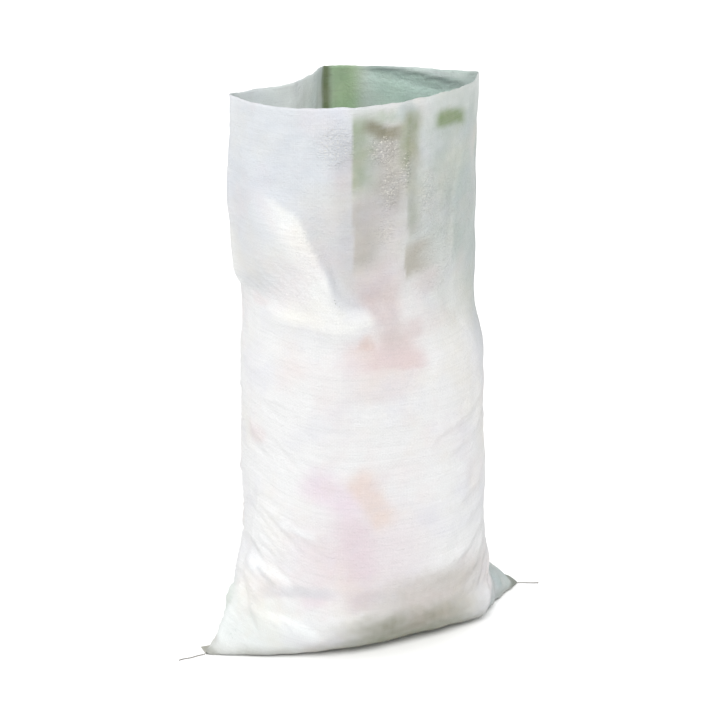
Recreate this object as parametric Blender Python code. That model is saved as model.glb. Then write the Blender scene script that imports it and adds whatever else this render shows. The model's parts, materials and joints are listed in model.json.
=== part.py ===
"""Open woven sack of building rubble, standing on its stitched bottom seam.

Metres, +Z up. X runs along the bottom seam, the front panel faces -Y, and the origin is
the middle of the seam, on the ground.
"""
import math
import random

import bmesh
import bpy
import numpy as np
from mathutils import Matrix, Vector

# The sack as it is cut and as it stands.
FLAT_WIDTH = 0.560
STAND_HEIGHT = 0.888
FABRIC = 0.0012
SEAM_LAYERS = 0.0030
CLEARANCE = 0.0004

# The filled body: half sizes of its level section, and the strip that meets the ground.
BODY_LEFT = 0.202
BODY_LEFT_TAPER = 0.012
BODY_RIGHT = 0.200
BODY_RIGHT_TAPER = 0.030
FRONT_DEPTH = 0.129
BACK_DEPTH = 0.144
GROUND_FRONT = 0.052
GROUND_BACK = 0.050

# The pointed ears at the two ends of the bottom seam.
LEFT_EAR_RISE = 0.185
LEFT_EAR_CURVE = 1.35
LEFT_EAR_POWER = 2.5
RIGHT_EAR_RISE = 0.075
RIGHT_EAR_CURVE = 0.75
RIGHT_EAR_POWER = 4.0
BODY_POWER = 2.6
EAR_SOLID_END = 0.014
EAR_EMPTY_END = 0.058

# The open mouth, seen from above: corners at the side folds and at the back's packing fold.
MOUTH_LEFT = (-0.209, 0.014)
MOUTH_RIGHT = (0.179, -0.007)
MOUTH_BACK_FOLD = (-0.013, 0.128)
MOUTH_FRONT_CURVE = [(-0.196, -0.058), (-0.153, -0.105), (-0.082, -0.132)]
MOUTH_FRONT_FOLD = (-0.004, -0.130)
MOUTH_RIGHT_CURVE = [(0.072, -0.104), (0.140, -0.062)]
MOUTH_BACK_LEFT_CURVE = [(-0.158, 0.030), (-0.118, 0.035), (-0.088, 0.050)]
MOUTH_BACK_RIGHT_CURVE = [(0.086, 0.075)]

# Where the loose upper part starts: high on the left cheek, low on the right. At the left
# side fold it starts at once, and bulges past the mouth's corner.
CHEEK_LEFT = 0.585
CHEEK_RIGHT = 0.450
LOOSE_RUN = 0.150
FOLD_LOOSE_RUN = 0.045
SIDE_BULGE = 0.010
SIDE_BULGE_HEIGHT = 0.735
SIDE_BULGE_SPREAD = 0.090
SIDE_BULGE_SHARE = 0.16

# The front's hollow facet over the fill, right of the slanting edge of the left cheek.
HOLLOW_DEPTH = 0.014
HOLLOW_FLOOR = 0.572
HOLLOW_TOP = 0.760
HOLLOW_EDGE_SHARE = 0.345
HOLLOW_EDGE_SLANT = -0.70
HOLLOW_EDGE_SOFTNESS = 0.09
HOLLOW_FAR_SHARE = 0.50

# The rubble inside.
FILL_TOP = 0.455
FILL_MOUND = 0.030

# The stitching and its loose ends.
STITCH_LINE = 0.010
STITCH_HALF_LENGTH = 0.262
THREAD_WIDTH = 0.0016
THREAD_HEIGHT = 0.0009
GROOVE_WIDTH = 0.0024
GROOVE_DEPTH = 0.0014
TAIL_DIAMETER = 0.0022
LEFT_TAIL_ROUTE = [(-0.2805, 0.0000, 0.0013), (-0.2838, 0.0001, 0.0013), (-0.2870, 0.0003, 0.0012),
                   (-0.2902, 0.0004, 0.0012), (-0.2934, 0.0003, 0.0011), (-0.2966, 0.0000, 0.0011),
                   (-0.2998, -0.0005, 0.0011), (-0.3030, -0.0008, 0.0011), (-0.3062, -0.0007, 0.0011),
                   (-0.3093, -0.0003, 0.0011), (-0.3124, 0.0002, 0.0011), (-0.3155, 0.0005, 0.0011),
                   (-0.3184, 0.0004, 0.0011), (-0.3213, 0.0000, 0.0011), (-0.3242, -0.0006, 0.0011)]
RIGHT_TAIL_ROUTE = [(0.2805, 0.0000, 0.0013), (0.2829, -0.0003, 0.0013), (0.2853, -0.0010, 0.0012),
                    (0.2877, -0.0019, 0.0012), (0.2901, -0.0029, 0.0011), (0.2924, -0.0040, 0.0011),
                    (0.2947, -0.0052, 0.0011), (0.2970, -0.0065, 0.0011), (0.2993, -0.0078, 0.0011),
                    (0.3016, -0.0091, 0.0011), (0.3039, -0.0103, 0.0011), (0.3063, -0.0114, 0.0011),
                    (0.3087, -0.0124, 0.0011), (0.3112, -0.0134, 0.0011), (0.3137, -0.0143, 0.0011)]

# How finely the surfaces are drawn.
POINTS_ACROSS = 38
LOW_LEVELS = [0.0, 0.004, 0.012, 0.024, 0.040, 0.060, 0.085, 0.115, 0.150, 0.190]
FOLDED_FROM = 0.555
FOLDED_TO = 0.655
LEVEL_STEP = 0.042
FOLDED_STEP = 0.014

COLOURS = {
    "woven": ((0.84, 0.85, 0.86), 0.42),
    "fill": ((0.46, 0.41, 0.36), 0.95),
    "brick": ((0.50, 0.20, 0.12), 0.90),
    "concrete": ((0.52, 0.51, 0.48), 0.92),
    "plaster": ((0.78, 0.74, 0.66), 0.90),
    "thread": ((0.80, 0.80, 0.78), 0.75),
}

# The broken pieces on top of the fill: name, kind, size, place on the ground plan, turn, seed.
LUMPS = [
    ("brick_piece_1", "brick", (0.088, 0.066, 0.055), (-0.127, -0.026), 20, 1),
    ("brick_piece_2", "brick", (0.090, 0.074, 0.056), (0.106, 0.036), -38, 2),
    ("brick_piece_3", "brick", (0.054, 0.046, 0.042), (0.014, -0.080), 65, 3),
    ("brick_piece_4", "brick", (0.056, 0.044, 0.040), (-0.050, 0.086), -15, 4),
    ("concrete_piece_1", "concrete", (0.088, 0.076, 0.062), (-0.014, 0.003), -8, 5),
    ("concrete_piece_2", "concrete", (0.062, 0.050, 0.046), (0.092, -0.052), 40, 6),
    ("concrete_piece_3", "concrete", (0.056, 0.048, 0.042), (-0.117, 0.057), 12, 7),
    ("concrete_piece_4", "concrete", (0.050, 0.042, 0.038), (0.030, 0.090), 30, 8),
    ("plaster_piece_1", "plaster", (0.074, 0.046, 0.026), (-0.060, -0.088), 10, 9),
    ("plaster_piece_2", "plaster", (0.040, 0.034, 0.022), (0.147, -0.028), 80, 10),
]


def clear_scene():
    """Remove every object of the scene that the script starts in."""
    for thing in list(bpy.data.objects):
        bpy.data.objects.remove(thing, do_unlink=True)


def finish(name):
    """The plain material of one finish, made once."""
    if name in bpy.data.materials:
        return bpy.data.materials[name]
    colour, roughness = COLOURS[name]
    material = bpy.data.materials.new(name)
    material.use_nodes = True
    shader = material.node_tree.nodes["Principled BSDF"]
    shader.inputs["Base Color"].default_value = (*colour, 1.0)
    shader.inputs["Roughness"].default_value = roughness
    shader.inputs["Metallic"].default_value = 0.0
    return material


def add_object(name, mesh, material):
    """Put a mesh in the scene as one named piece."""
    thing = bpy.data.objects.new(name, mesh)
    mesh.materials.append(finish(material))
    bpy.context.collection.objects.link(thing)
    return thing


def smooth(value):
    """Ease from 0 to 1."""
    value = np.clip(value, 0.0, 1.0)
    return value * value * (3.0 - 2.0 * value)


def even_points(points, count):
    """Points at equal steps along a line of points."""
    points = np.asarray(points, dtype=float)
    steps = np.linalg.norm(np.diff(points, axis=0), axis=1)
    run = np.concatenate([[0.0], np.cumsum(steps)])
    wanted = np.linspace(0.0, run[-1], count)
    return np.stack([np.interp(wanted, run, points[:, axis]) for axis in range(points.shape[1])], axis=1)


def curve_through(points, samples=12):
    """A smooth line through hand-set points, with straight ends."""
    points = np.asarray(points, dtype=float)
    padded = np.vstack([2 * points[0] - points[1], points, 2 * points[-1] - points[-2]])
    t = np.linspace(0.0, 1.0, samples, endpoint=False)[:, None]
    pieces = []
    for before, start, end, after in zip(padded, padded[1:], padded[2:], padded[3:]):
        pieces.append(0.5 * (2 * start + (end - before) * t
                             + (2 * before - 5 * start + 4 * end - after) * t ** 2
                             + (3 * start - before - 3 * end + after) * t ** 3))
    return np.vstack(pieces + [points[-1:]])


def mouth_outline():
    """The mouth's front and back halves, each from the left side fold to the right one."""
    front_left = curve_through([MOUTH_LEFT, *MOUTH_FRONT_CURVE, MOUTH_FRONT_FOLD])
    front_right = curve_through([MOUTH_FRONT_FOLD, *MOUTH_RIGHT_CURVE, MOUTH_RIGHT])
    back_left = curve_through([MOUTH_LEFT, *MOUTH_BACK_LEFT_CURVE, MOUTH_BACK_FOLD])
    back_right = curve_through([MOUTH_BACK_FOLD, *MOUTH_BACK_RIGHT_CURVE, MOUTH_RIGHT])
    front = np.vstack([front_left, front_right[1:]])
    back = np.vstack([back_left, back_right[1:]])
    return even_points(front, POINTS_ACROSS), even_points(back, POINTS_ACROSS)


def ear_reach(height, half_width, rise, curve, seam_end):
    """How far the side stands out: the body's half width, drawn out to the ear's tip low down."""
    share = max(0.0, 1.0 - height / rise) ** curve
    return half_width + (seam_end - half_width) * share


def wall_depth(height, depth, ground):
    """Half depth of the body, whose lower edge rounds in to the strip on the ground."""
    radius = depth - ground
    if height >= radius:
        return depth
    return ground + math.sqrt(radius ** 2 - (radius - height) ** 2)


def body_outline(height, inset, seam_end):
    """Front and back halves of the filled body's level section.

    Each is a superellipse. Near the ground its ends are drawn out to the two ears, and are
    pointed there. The inset and the seam's end make the same section smaller, for the inner
    face and for the fill, which doesn't reach into the ears.
    """
    left_half = BODY_LEFT - BODY_LEFT_TAPER * height - inset
    right_half = BODY_RIGHT - BODY_RIGHT_TAPER * height - inset
    left = ear_reach(height, left_half, LEFT_EAR_RISE, LEFT_EAR_CURVE, seam_end)
    right = ear_reach(height, right_half, RIGHT_EAR_RISE, RIGHT_EAR_CURVE, seam_end)
    angle = np.linspace(0.0, math.pi, 361)
    across = -np.cos(angle)
    rounding = np.where(across < 0, smooth(height / LEFT_EAR_RISE), smooth(height / RIGHT_EAR_RISE / 1.3))
    low_power = np.where(across < 0, LEFT_EAR_POWER, RIGHT_EAR_POWER)
    power = low_power + (BODY_POWER - low_power) * rounding
    bluntness = 1.0 - 0.48 * rounding
    bulge = (1.0 - np.abs(across) ** power) ** bluntness
    x = np.where(across < 0, across * left, across * right)
    halves = []
    for side, depth, ground in ((-1, FRONT_DEPTH, GROUND_FRONT), (1, BACK_DEPTH, GROUND_BACK)):
        y = side * bulge * wall_depth(height, depth - inset, ground - inset)
        halves.append(even_points(np.stack([x, y], axis=1), POINTS_ACROSS))
    return halves


def inward(outline, distance):
    """A level outline moved inwards: towards the other panel, and along at the side folds."""
    moved = []
    for side, half in zip((1, -1), outline):
        along = np.gradient(half, axis=0)
        along /= np.linalg.norm(along, axis=1)[:, None]
        normal = np.stack([-along[:, 1], along[:, 0]], axis=1) * side
        moved.append(half + normal * distance)
    for end, sign in ((0, 1), (-1, -1)):
        meeting = (outline[0][end] + outline[1][end]) / 2 + np.array([sign * 2.2 * distance, 0.0])
        for half in moved:
            half[end] = meeting
    return moved


def front_hollow(share, height):
    """How far the front panel falls in over the fill, at shares of the way across it.

    The facet starts sharply at the top of the fill and fades upwards. Its left edge slants
    up to the left, and it fades out to the right.
    """
    edge = HOLLOW_EDGE_SHARE + HOLLOW_EDGE_SLANT * (height - HOLLOW_FLOOR)
    across = smooth((share - edge) / HOLLOW_EDGE_SOFTNESS) * (1.0 - smooth((share - HOLLOW_FAR_SHARE) / 0.25))
    upward = smooth((height - HOLLOW_FLOOR) / 0.02) * (1.0 - smooth((height - HOLLOW_FLOOR - 0.03)
                                                                    / (HOLLOW_TOP - HOLLOW_FLOOR - 0.03)))
    return HOLLOW_DEPTH * across * upward


def sack_outline(height, inset, seam_end):
    """Front and back halves of the sack at one height, as rows of points in space.

    The loose upper part goes over from the filled body's section to the mouth's. The change
    starts high on the left cheek and low on the right. It is quick at the left side fold,
    which stands out above it.
    """
    share = np.linspace(0.0, 1.0, POINTS_ACROSS)
    start = CHEEK_LEFT + (CHEEK_RIGHT - CHEEK_LEFT) * smooth((share - 0.15) / 0.45)
    run = FOLD_LOOSE_RUN + (LOOSE_RUN - FOLD_LOOSE_RUN) * smooth(share / 0.35)
    loose = smooth((height - start) / run)[:, None]
    body = body_outline(height, inset, seam_end)
    mouth = inward(mouth_outline(), inset) if inset else mouth_outline()
    bulge = SIDE_BULGE * math.exp(-((height - SIDE_BULGE_HEIGHT) / SIDE_BULGE_SPREAD) ** 2)
    bulge = bulge * np.exp(-(share / SIDE_BULGE_SHARE) ** 2)
    rows = []
    for low, high, hollow in zip(body, mouth, (front_hollow(share, height), 0.0)):
        level = low * (1.0 - loose) + high * loose
        level[:, 0] -= bulge
        level[:, 1] += hollow
        rows.append(np.column_stack([level, np.full(POINTS_ACROSS, height)]))
    return rows


def levels(bottom, top):
    """Heights of the rows: close together at the rounded bottom edge and where the cloth breaks."""
    heights = [bottom + (LOW_LEVELS[-1] - bottom) * value / LOW_LEVELS[-1] for value in LOW_LEVELS]
    for stop, step in ((FOLDED_FROM, LEVEL_STEP), (FOLDED_TO, FOLDED_STEP), (top, LEVEL_STEP)):
        stop = min(stop, top)
        start = heights[-1]
        count = math.ceil((stop - start) / step)
        heights += [start + (stop - start) * (index + 1) / count for index in range(count)]
    return heights


def ring_of(rows):
    """One closed ring of points: the front from left to right, then the back from right to left."""
    front, back = rows
    return np.vstack([front, back[-2:0:-1]])


def skin_rings(bottom, top, inset, ear_gap):
    """The rings of a whole skin, lowest first, with the rounding measured from its own bottom."""
    rings = []
    for height in levels(bottom, top):
        drawn_at = height - bottom * (1.0 - min(1.0, height / LOW_LEVELS[-1]))
        ring = ring_of(sack_outline(drawn_at, inset, FLAT_WIDTH / 2 - ear_gap))
        ring[:, 2] = height
        rings.append(ring)
    return rings


def add_rings(shape, rings):
    """Add rings of points and the quads between them, and return the rings' vertices."""
    made = [[shape.verts.new(point) for point in ring] for ring in rings]
    for lower, upper in zip(made, made[1:]):
        for index in range(len(lower)):
            following = (index + 1) % len(lower)
            shape.faces.new((lower[index], lower[following], upper[following], upper[index]))
    return made


def close_flat(shape, ring):
    """Close the flat bottom of a ring with strips from its front to its back."""
    count = len(ring)
    last = POINTS_ACROSS - 1
    for index in range(last):
        near = ring[index]
        near_next = ring[index + 1]
        far = ring[(count - index) % count]
        far_next = ring[(count - index - 1) % count]
        corners = []
        for corner in (near, far, far_next, near_next):
            if corner not in corners:
                corners.append(corner)
        shape.faces.new(corners)


def shape_to_mesh(shape, name):
    """Turn the faces outwards and make the mesh."""
    bmesh.ops.recalc_face_normals(shape, faces=shape.faces)
    mesh = bpy.data.meshes.new(name)
    shape.to_mesh(mesh)
    shape.free()
    return mesh


def soften(mesh, angle):
    """Shade a mesh smooth, apart from edges sharper than the angle in degrees."""
    mesh.shade_smooth()
    mesh.set_sharp_from_angle(angle=math.radians(angle))


def cut_from(target, cutter_or_collection):
    """Cut a hidden cutter, or a collection of them, out of a piece."""
    cut = target.modifiers.new("cut", "BOOLEAN")
    cut.operation = "DIFFERENCE"
    cut.solver = "EXACT"
    if isinstance(cutter_or_collection, bpy.types.Collection):
        cut.operand_type = "COLLECTION"
        cut.collection = cutter_or_collection
    else:
        cut.object = cutter_or_collection


def hide_cutter(thing):
    """Keep a cutter out of the build and the render."""
    thing.hide_render = True
    thing.display_type = "WIRE"


def block_mesh(name, size, centre):
    """A plain box."""
    shape = bmesh.new()
    place = Matrix.Translation(centre) @ Matrix.Diagonal((*size, 1.0))
    bmesh.ops.create_cube(shape, size=1.0, matrix=place)
    return shape_to_mesh(shape, name)


def woven_sack():
    """The sack: outer face, rim and inner face, closed below by the folded and stitched bottom."""
    shape = bmesh.new()
    outer = add_rings(shape, skin_rings(0.0, STAND_HEIGHT, 0.0, 0.0))
    inner = add_rings(shape, skin_rings(SEAM_LAYERS, STAND_HEIGHT, FABRIC, EAR_SOLID_END))
    for index in range(len(outer[-1])):
        following = (index + 1) % len(outer[-1])
        shape.faces.new((outer[-1][index], outer[-1][following], inner[-1][following], inner[-1][index]))
    close_flat(shape, outer[0])
    close_flat(shape, inner[0])
    mesh = shape_to_mesh(shape, "woven_sack")
    soften(mesh, 35)
    sack = add_object("woven_sack", mesh, "woven")
    groove_size = (2 * STITCH_HALF_LENGTH + 2 * CLEARANCE, GROOVE_WIDTH, 2 * GROOVE_DEPTH)
    groove = add_object("stitch_groove_cutter", block_mesh("groove", groove_size, (0.0, STITCH_LINE, 0.0)), "thread")
    hide_cutter(groove)
    cut_from(sack, groove)


def seam_thread():
    """The line of chain stitches that closes the bottom, sunk in its groove."""
    size = (2 * STITCH_HALF_LENGTH, THREAD_WIDTH, THREAD_HEIGHT)
    centre = (0.0, STITCH_LINE, 0.0001 + THREAD_HEIGHT / 2)
    add_object("seam_thread", block_mesh("seam_thread", size, centre), "thread")


def fill_height(x, y):
    """The fill's uneven top: a low mound with hollows in it."""
    mound = FILL_MOUND * (1.0 - (x / 0.20) ** 2 - (y / 0.13) ** 2)
    hollows = 0.006 * np.sin(31.0 * x + 0.7) * np.cos(37.0 * y + 0.4)
    return FILL_TOP + mound + hollows


def rubble_core(pockets):
    """The packed rubble that the sack hides, one solid, with a pocket for each piece on top."""
    gap = FABRIC + CLEARANCE
    shape = bmesh.new()
    bottom = SEAM_LAYERS + CLEARANCE
    rings = skin_rings(bottom, FILL_TOP - FILL_MOUND, gap, EAR_EMPTY_END)
    top = rings[-1]
    centre = top.mean(axis=0)
    for scale in (0.93, 0.78, 0.60, 0.42, 0.24):
        ring = centre + (top - centre) * scale
        ring[:, 2] = fill_height(ring[:, 0], ring[:, 1])
        rings.append(ring)
    made = add_rings(shape, rings)
    peak = shape.verts.new((centre[0], centre[1], fill_height(centre[0], centre[1])))
    for index in range(len(made[-1])):
        shape.faces.new((made[-1][index], made[-1][(index + 1) % len(made[-1])], peak))
    close_flat(shape, made[0])
    mesh = shape_to_mesh(shape, "rubble_core")
    soften(mesh, 40)
    core = add_object("rubble_core", mesh, "fill")
    cut_from(core, pockets)


def broken_mesh(name, size, seed, grow=0.0):
    """A broken block: a box with its corners knocked off along uneven planes."""
    dice = random.Random(seed)
    shape = bmesh.new()
    bmesh.ops.create_cube(shape, size=1.0, matrix=Matrix.Diagonal((*size, 1.0)))
    for corner in range(8):
        side = Vector((1 if corner & 1 else -1, 1 if corner & 2 else -1, 1 if corner & 4 else -1))
        lean = Vector(dice.uniform(0.35, 1.0) * value for value in side).normalized()
        bite = dice.uniform(0.62, 0.90)
        reach = sum(abs(lean[axis]) * size[axis] / 2 for axis in range(3)) * bite
        cut = bmesh.ops.bisect_plane(shape, geom=shape.verts[:] + shape.edges[:] + shape.faces[:],
                                     plane_co=lean * reach, plane_no=lean, clear_outer=True)
        rim = [item for item in cut["geom_cut"] if isinstance(item, bmesh.types.BMEdge)]
        if rim:
            bmesh.ops.edgeloop_fill(shape, edges=rim)
    bmesh.ops.remove_doubles(shape, verts=shape.verts, dist=0.0005)
    bmesh.ops.scale(shape, verts=shape.verts, vec=[1.0 + 2.0 * grow / length for length in size])
    return shape_to_mesh(shape, name)


def place_broken(thing, size, spot, turn, seed):
    """Lay a broken block half sunk in the fill, tipped a little."""
    dice = random.Random(seed + 100)
    x, y = spot
    height = fill_height(x, y) + size[2] * 0.18
    thing.location = (x, y, float(height))
    tip = [math.radians(dice.uniform(-14, 14)) for axis in range(2)]
    thing.rotation_euler = (*tip, math.radians(turn))


def broken_pieces():
    """The broken brick, concrete and plaster on top, and the pockets that they lie in."""
    pockets = bpy.data.collections.new("pockets")
    bpy.context.scene.collection.children.link(pockets)
    for name, kind, size, spot, turn, seed in LUMPS:
        piece = add_object(name, broken_mesh(name, size, seed), kind)
        place_broken(piece, size, spot, turn, seed)
        pocket = bpy.data.objects.new("pocket_" + name, broken_mesh("pocket_" + name, size, seed, CLEARANCE))
        pockets.objects.link(pocket)
        place_broken(pocket, size, spot, turn, seed)
        hide_cutter(pocket)
    return pockets


def thread_tail(name, route):
    """A loose end of the stitching, lying on the ground from the ear's tip."""
    line = curve_through(route)
    length = np.linalg.norm(np.diff(line, axis=0), axis=1).sum()
    points = even_points(line, round(length / (2.2 * TAIL_DIAMETER)) + 1)
    curve = bpy.data.curves.new(name, "CURVE")
    curve.dimensions = "3D"
    curve.bevel_depth = TAIL_DIAMETER / 2
    curve.bevel_resolution = 2
    curve.use_fill_caps = True
    spline = curve.splines.new("POLY")
    spline.points.add(len(points) - 1)
    for slot, point in zip(spline.points, points):
        slot.co = (*point, 1.0)
    curve.materials.append(finish("thread"))
    thing = bpy.data.objects.new(name, curve)
    bpy.context.collection.objects.link(thing)


clear_scene()
woven_sack()
seam_thread()
rubble_core(broken_pieces())
thread_tail("thread_tail_left", LEFT_TAIL_ROUTE)
thread_tail("thread_tail_right", RIGHT_TAIL_ROUTE)
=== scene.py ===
"""Looks of the open rubble sack: woven plastic cloth, its stitching, and the rubble inside."""
import json
import math
import bmesh
import bpy
import numpy as np
from mathutils import Matrix, Vector
from mathutils.bvhtree import BVHTree

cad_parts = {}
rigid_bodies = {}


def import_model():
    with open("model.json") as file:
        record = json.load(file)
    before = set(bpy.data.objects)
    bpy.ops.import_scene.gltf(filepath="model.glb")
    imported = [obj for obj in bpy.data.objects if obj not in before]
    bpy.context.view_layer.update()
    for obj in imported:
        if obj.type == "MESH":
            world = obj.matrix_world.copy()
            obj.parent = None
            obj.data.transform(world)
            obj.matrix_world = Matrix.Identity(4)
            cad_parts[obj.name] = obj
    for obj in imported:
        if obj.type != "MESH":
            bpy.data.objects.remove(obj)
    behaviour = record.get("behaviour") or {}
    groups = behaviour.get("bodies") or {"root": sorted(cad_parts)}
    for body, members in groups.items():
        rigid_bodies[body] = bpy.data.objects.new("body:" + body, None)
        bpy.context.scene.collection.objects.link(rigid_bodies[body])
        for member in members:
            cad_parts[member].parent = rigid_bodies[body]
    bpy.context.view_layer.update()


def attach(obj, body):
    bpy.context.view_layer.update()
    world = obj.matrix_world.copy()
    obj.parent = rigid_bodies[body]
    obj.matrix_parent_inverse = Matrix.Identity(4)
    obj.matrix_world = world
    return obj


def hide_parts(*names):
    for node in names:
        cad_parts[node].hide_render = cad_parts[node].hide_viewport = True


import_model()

# Camera: at the photograph's angle, with the sack's left end nearer.
CAMERA_PLACE = (-1.1215, -2.4121, 1.500)
CAMERA_TURN = -24.7
CAMERA_DROP = 21.5
CAMERA_LENS = 92.65

camera_data = bpy.data.cameras.new("camera")
camera_data.lens = CAMERA_LENS
camera_data.sensor_width = 36.0
camera = bpy.data.objects.new("camera", camera_data)
camera.location = CAMERA_PLACE
camera.rotation_euler = (math.radians(90.0 - CAMERA_DROP), 0.0, math.radians(CAMERA_TURN))
bpy.context.collection.objects.link(camera)
bpy.context.scene.camera = camera


# Thread tails: the two loose ends of the bottom chain stitching, a plait of three thin
# yarns each, lying on the ground from the ears' tips.
TAIL_DIAMETER = 0.0022
YARN_RADIUS = 0.00042
PLAIT_PITCH = 0.0080
LEFT_TAIL_ROUTE = [(-0.2805, 0.0000, 0.0013), (-0.2838, 0.0001, 0.0013), (-0.2870, 0.0003, 0.0012),
                   (-0.2902, 0.0004, 0.0012), (-0.2934, 0.0003, 0.0011), (-0.2966, 0.0000, 0.0011),
                   (-0.2998, -0.0005, 0.0011), (-0.3030, -0.0008, 0.0011), (-0.3062, -0.0007, 0.0011),
                   (-0.3093, -0.0003, 0.0011), (-0.3124, 0.0002, 0.0011), (-0.3155, 0.0005, 0.0011),
                   (-0.3184, 0.0004, 0.0011), (-0.3213, 0.0000, 0.0011), (-0.3242, -0.0006, 0.0011)]
RIGHT_TAIL_ROUTE = [(0.2805, 0.0000, 0.0013), (0.2829, -0.0003, 0.0013), (0.2853, -0.0010, 0.0012),
                    (0.2877, -0.0019, 0.0012), (0.2901, -0.0029, 0.0011), (0.2924, -0.0040, 0.0011),
                    (0.2947, -0.0052, 0.0011), (0.2970, -0.0065, 0.0011), (0.2993, -0.0078, 0.0011),
                    (0.3016, -0.0091, 0.0011), (0.3039, -0.0103, 0.0011), (0.3063, -0.0114, 0.0011),
                    (0.3087, -0.0124, 0.0011), (0.3112, -0.0134, 0.0011), (0.3137, -0.0143, 0.0011)]


def node(tree, kind, place, **settings):
    """Add a shader node and set its plain properties."""
    made = tree.nodes.new(kind)
    made.location = place
    for name, value in settings.items():
        setattr(made, name, value)
    return made


def start_group(name, inputs, outputs):
    """Start a shader node group with its named sockets."""
    group = bpy.data.node_groups.new(name, "ShaderNodeTree")
    for label, kind, value in inputs:
        socket = group.interface.new_socket(label, in_out="INPUT", socket_type=kind)
        if value is not None:
            socket.default_value = value
    for label, kind in outputs:
        group.interface.new_socket(label, in_out="OUTPUT", socket_type=kind)
    entry = node(group, "NodeGroupInput", (-900, 0))
    leave = node(group, "NodeGroupOutput", (900, 0))
    return group, entry, leave


def math_node(tree, operation, first, second, place):
    """A maths node, whose two inputs are sockets or numbers."""
    made = node(tree, "ShaderNodeMath", place, operation=operation)
    for slot, value in zip(made.inputs, (first, second)):
        if isinstance(value, bpy.types.NodeSocket):
            tree.links.new(value, slot)
        elif value is not None:
            slot.default_value = value
    return made.outputs[0]


def mix_colour(tree, factor, low, high, place):
    """A colour mix, whose inputs are sockets, numbers or colours."""
    made = node(tree, "ShaderNodeMix", place, data_type="RGBA")
    for slot, value in ((made.inputs[0], factor), (made.inputs[6], low), (made.inputs[7], high)):
        if isinstance(value, bpy.types.NodeSocket):
            tree.links.new(value, slot)
        elif isinstance(value, (int, float)):
            slot.default_value = value
        else:
            slot.default_value = (*value, 1.0)
    return made.outputs[2]


def ramp(tree, value, low, high, place):
    """Stretch a value from low..high to 0..1, held at the ends."""
    made = node(tree, "ShaderNodeMapRange", place)
    tree.links.new(value, made.inputs[0])
    made.inputs[1].default_value = low
    made.inputs[2].default_value = high
    return made.outputs[0]


def noise(tree, vector, scale, detail, place, roughness=0.55):
    """A noise texture's value on a vector."""
    made = node(tree, "ShaderNodeTexNoise", place)
    made.inputs["Scale"].default_value = scale
    made.inputs["Detail"].default_value = detail
    made.inputs["Roughness"].default_value = roughness
    if vector is not None:
        tree.links.new(vector, made.inputs["Vector"])
    return made.outputs[0]


def start_material(name):
    """Start a material and return its tree and its Principled shader."""
    material = bpy.data.materials.new(name)
    material.use_nodes = True
    return material, material.node_tree, material.node_tree.nodes["Principled BSDF"]


def add_bump(tree, shader, height, strength, distance, place):
    """Feed a height through a Bump node to the shader's normal."""
    bump = node(tree, "ShaderNodeBump", place)
    bump.inputs["Strength"].default_value = strength
    bump.inputs["Distance"].default_value = distance
    tree.links.new(height, bump.inputs["Height"])
    tree.links.new(bump.outputs[0], shader.inputs["Normal"])
    return bump


def near_ground_group():
    """Darkening low down near the ground: a mask that fades with height and is broken by noise. It stands for grey
    dust, and on the cloth also for painted contact shadow.
    """
    group, entry, leave = start_group("near_ground_darkening",
                                      [("Position", "NodeSocketVector", None), ("Reach", "NodeSocketFloat", 0.06)],
                                      [("Mask", "NodeSocketFloat")])
    split = node(group, "ShaderNodeSeparateXYZ", (-700, 0))
    group.links.new(entry.outputs["Position"], split.inputs[0])
    height = math_node(group, "DIVIDE", split.outputs[2], entry.outputs["Reach"], (-500, 0))
    fade = math_node(group, "SUBTRACT", 1.0, height, (-300, 0))
    patches = noise(group, entry.outputs["Position"], 22.0, 5.0, (-500, -250))
    broken = math_node(group, "MULTIPLY", fade, patches, (-100, 0))
    held = ramp(group, broken, 0.10, 0.55, (100, 0))
    group.links.new(held, leave.inputs["Mask"])
    return group


def thread_material():
    """Dull white spun thread: fine slanting fibres, greyed where it lies on the ground."""
    material, tree, shader = start_material("spun_thread")
    place = node(tree, "ShaderNodeTexCoord", (-1100, 0)).outputs["Object"]
    fibres = noise(tree, place, 2600.0, 3.0, (-900, 0))
    low_mask = node(tree, "ShaderNodeGroup", (-900, -250))
    low_mask.node_tree = NEAR_GROUND
    tree.links.new(place, low_mask.inputs["Position"])
    low_mask.inputs["Reach"].default_value = 0.010
    clean = mix_colour(tree, fibres, (0.30, 0.29, 0.27), (0.62, 0.61, 0.58), (-600, 0))
    darkened_low = mix_colour(tree, low_mask.outputs["Mask"], clean, (0.16, 0.15, 0.13), (-350, 0))
    tree.links.new(darkened_low, shader.inputs["Base Color"])
    shader.inputs["Roughness"].default_value = 0.85
    add_bump(tree, shader, fibres, 0.5, 0.0002, (-300, -300))
    return material


def curve_through(points, samples=12):
    """A smooth line through given points: a cubic between each two, with straight ends."""
    points = np.asarray(points, dtype=float)
    padded = np.vstack([2 * points[0] - points[1], points, 2 * points[-1] - points[-2]])
    t = np.linspace(0.0, 1.0, samples, endpoint=False)[:, None]
    pieces = []
    for before, start, end, after in zip(padded, padded[1:], padded[2:], padded[3:]):
        pieces.append(0.5 * (2 * start + (end - before) * t
                             + (2 * before - 5 * start + 4 * end - after) * t ** 2
                             + (3 * start - before - 3 * end + after) * t ** 3))
    return np.vstack(pieces + [points[-1:]])


def even_points(points, count):
    """Points at equal steps along a line of points."""
    points = np.asarray(points, dtype=float)
    steps = np.linalg.norm(np.diff(points, axis=0), axis=1)
    run = np.concatenate([[0.0], np.cumsum(steps)])
    wanted = np.linspace(0.0, run[-1], count)
    return np.stack([np.interp(wanted, run, points[:, axis]) for axis in range(points.shape[1])], axis=1)


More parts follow.
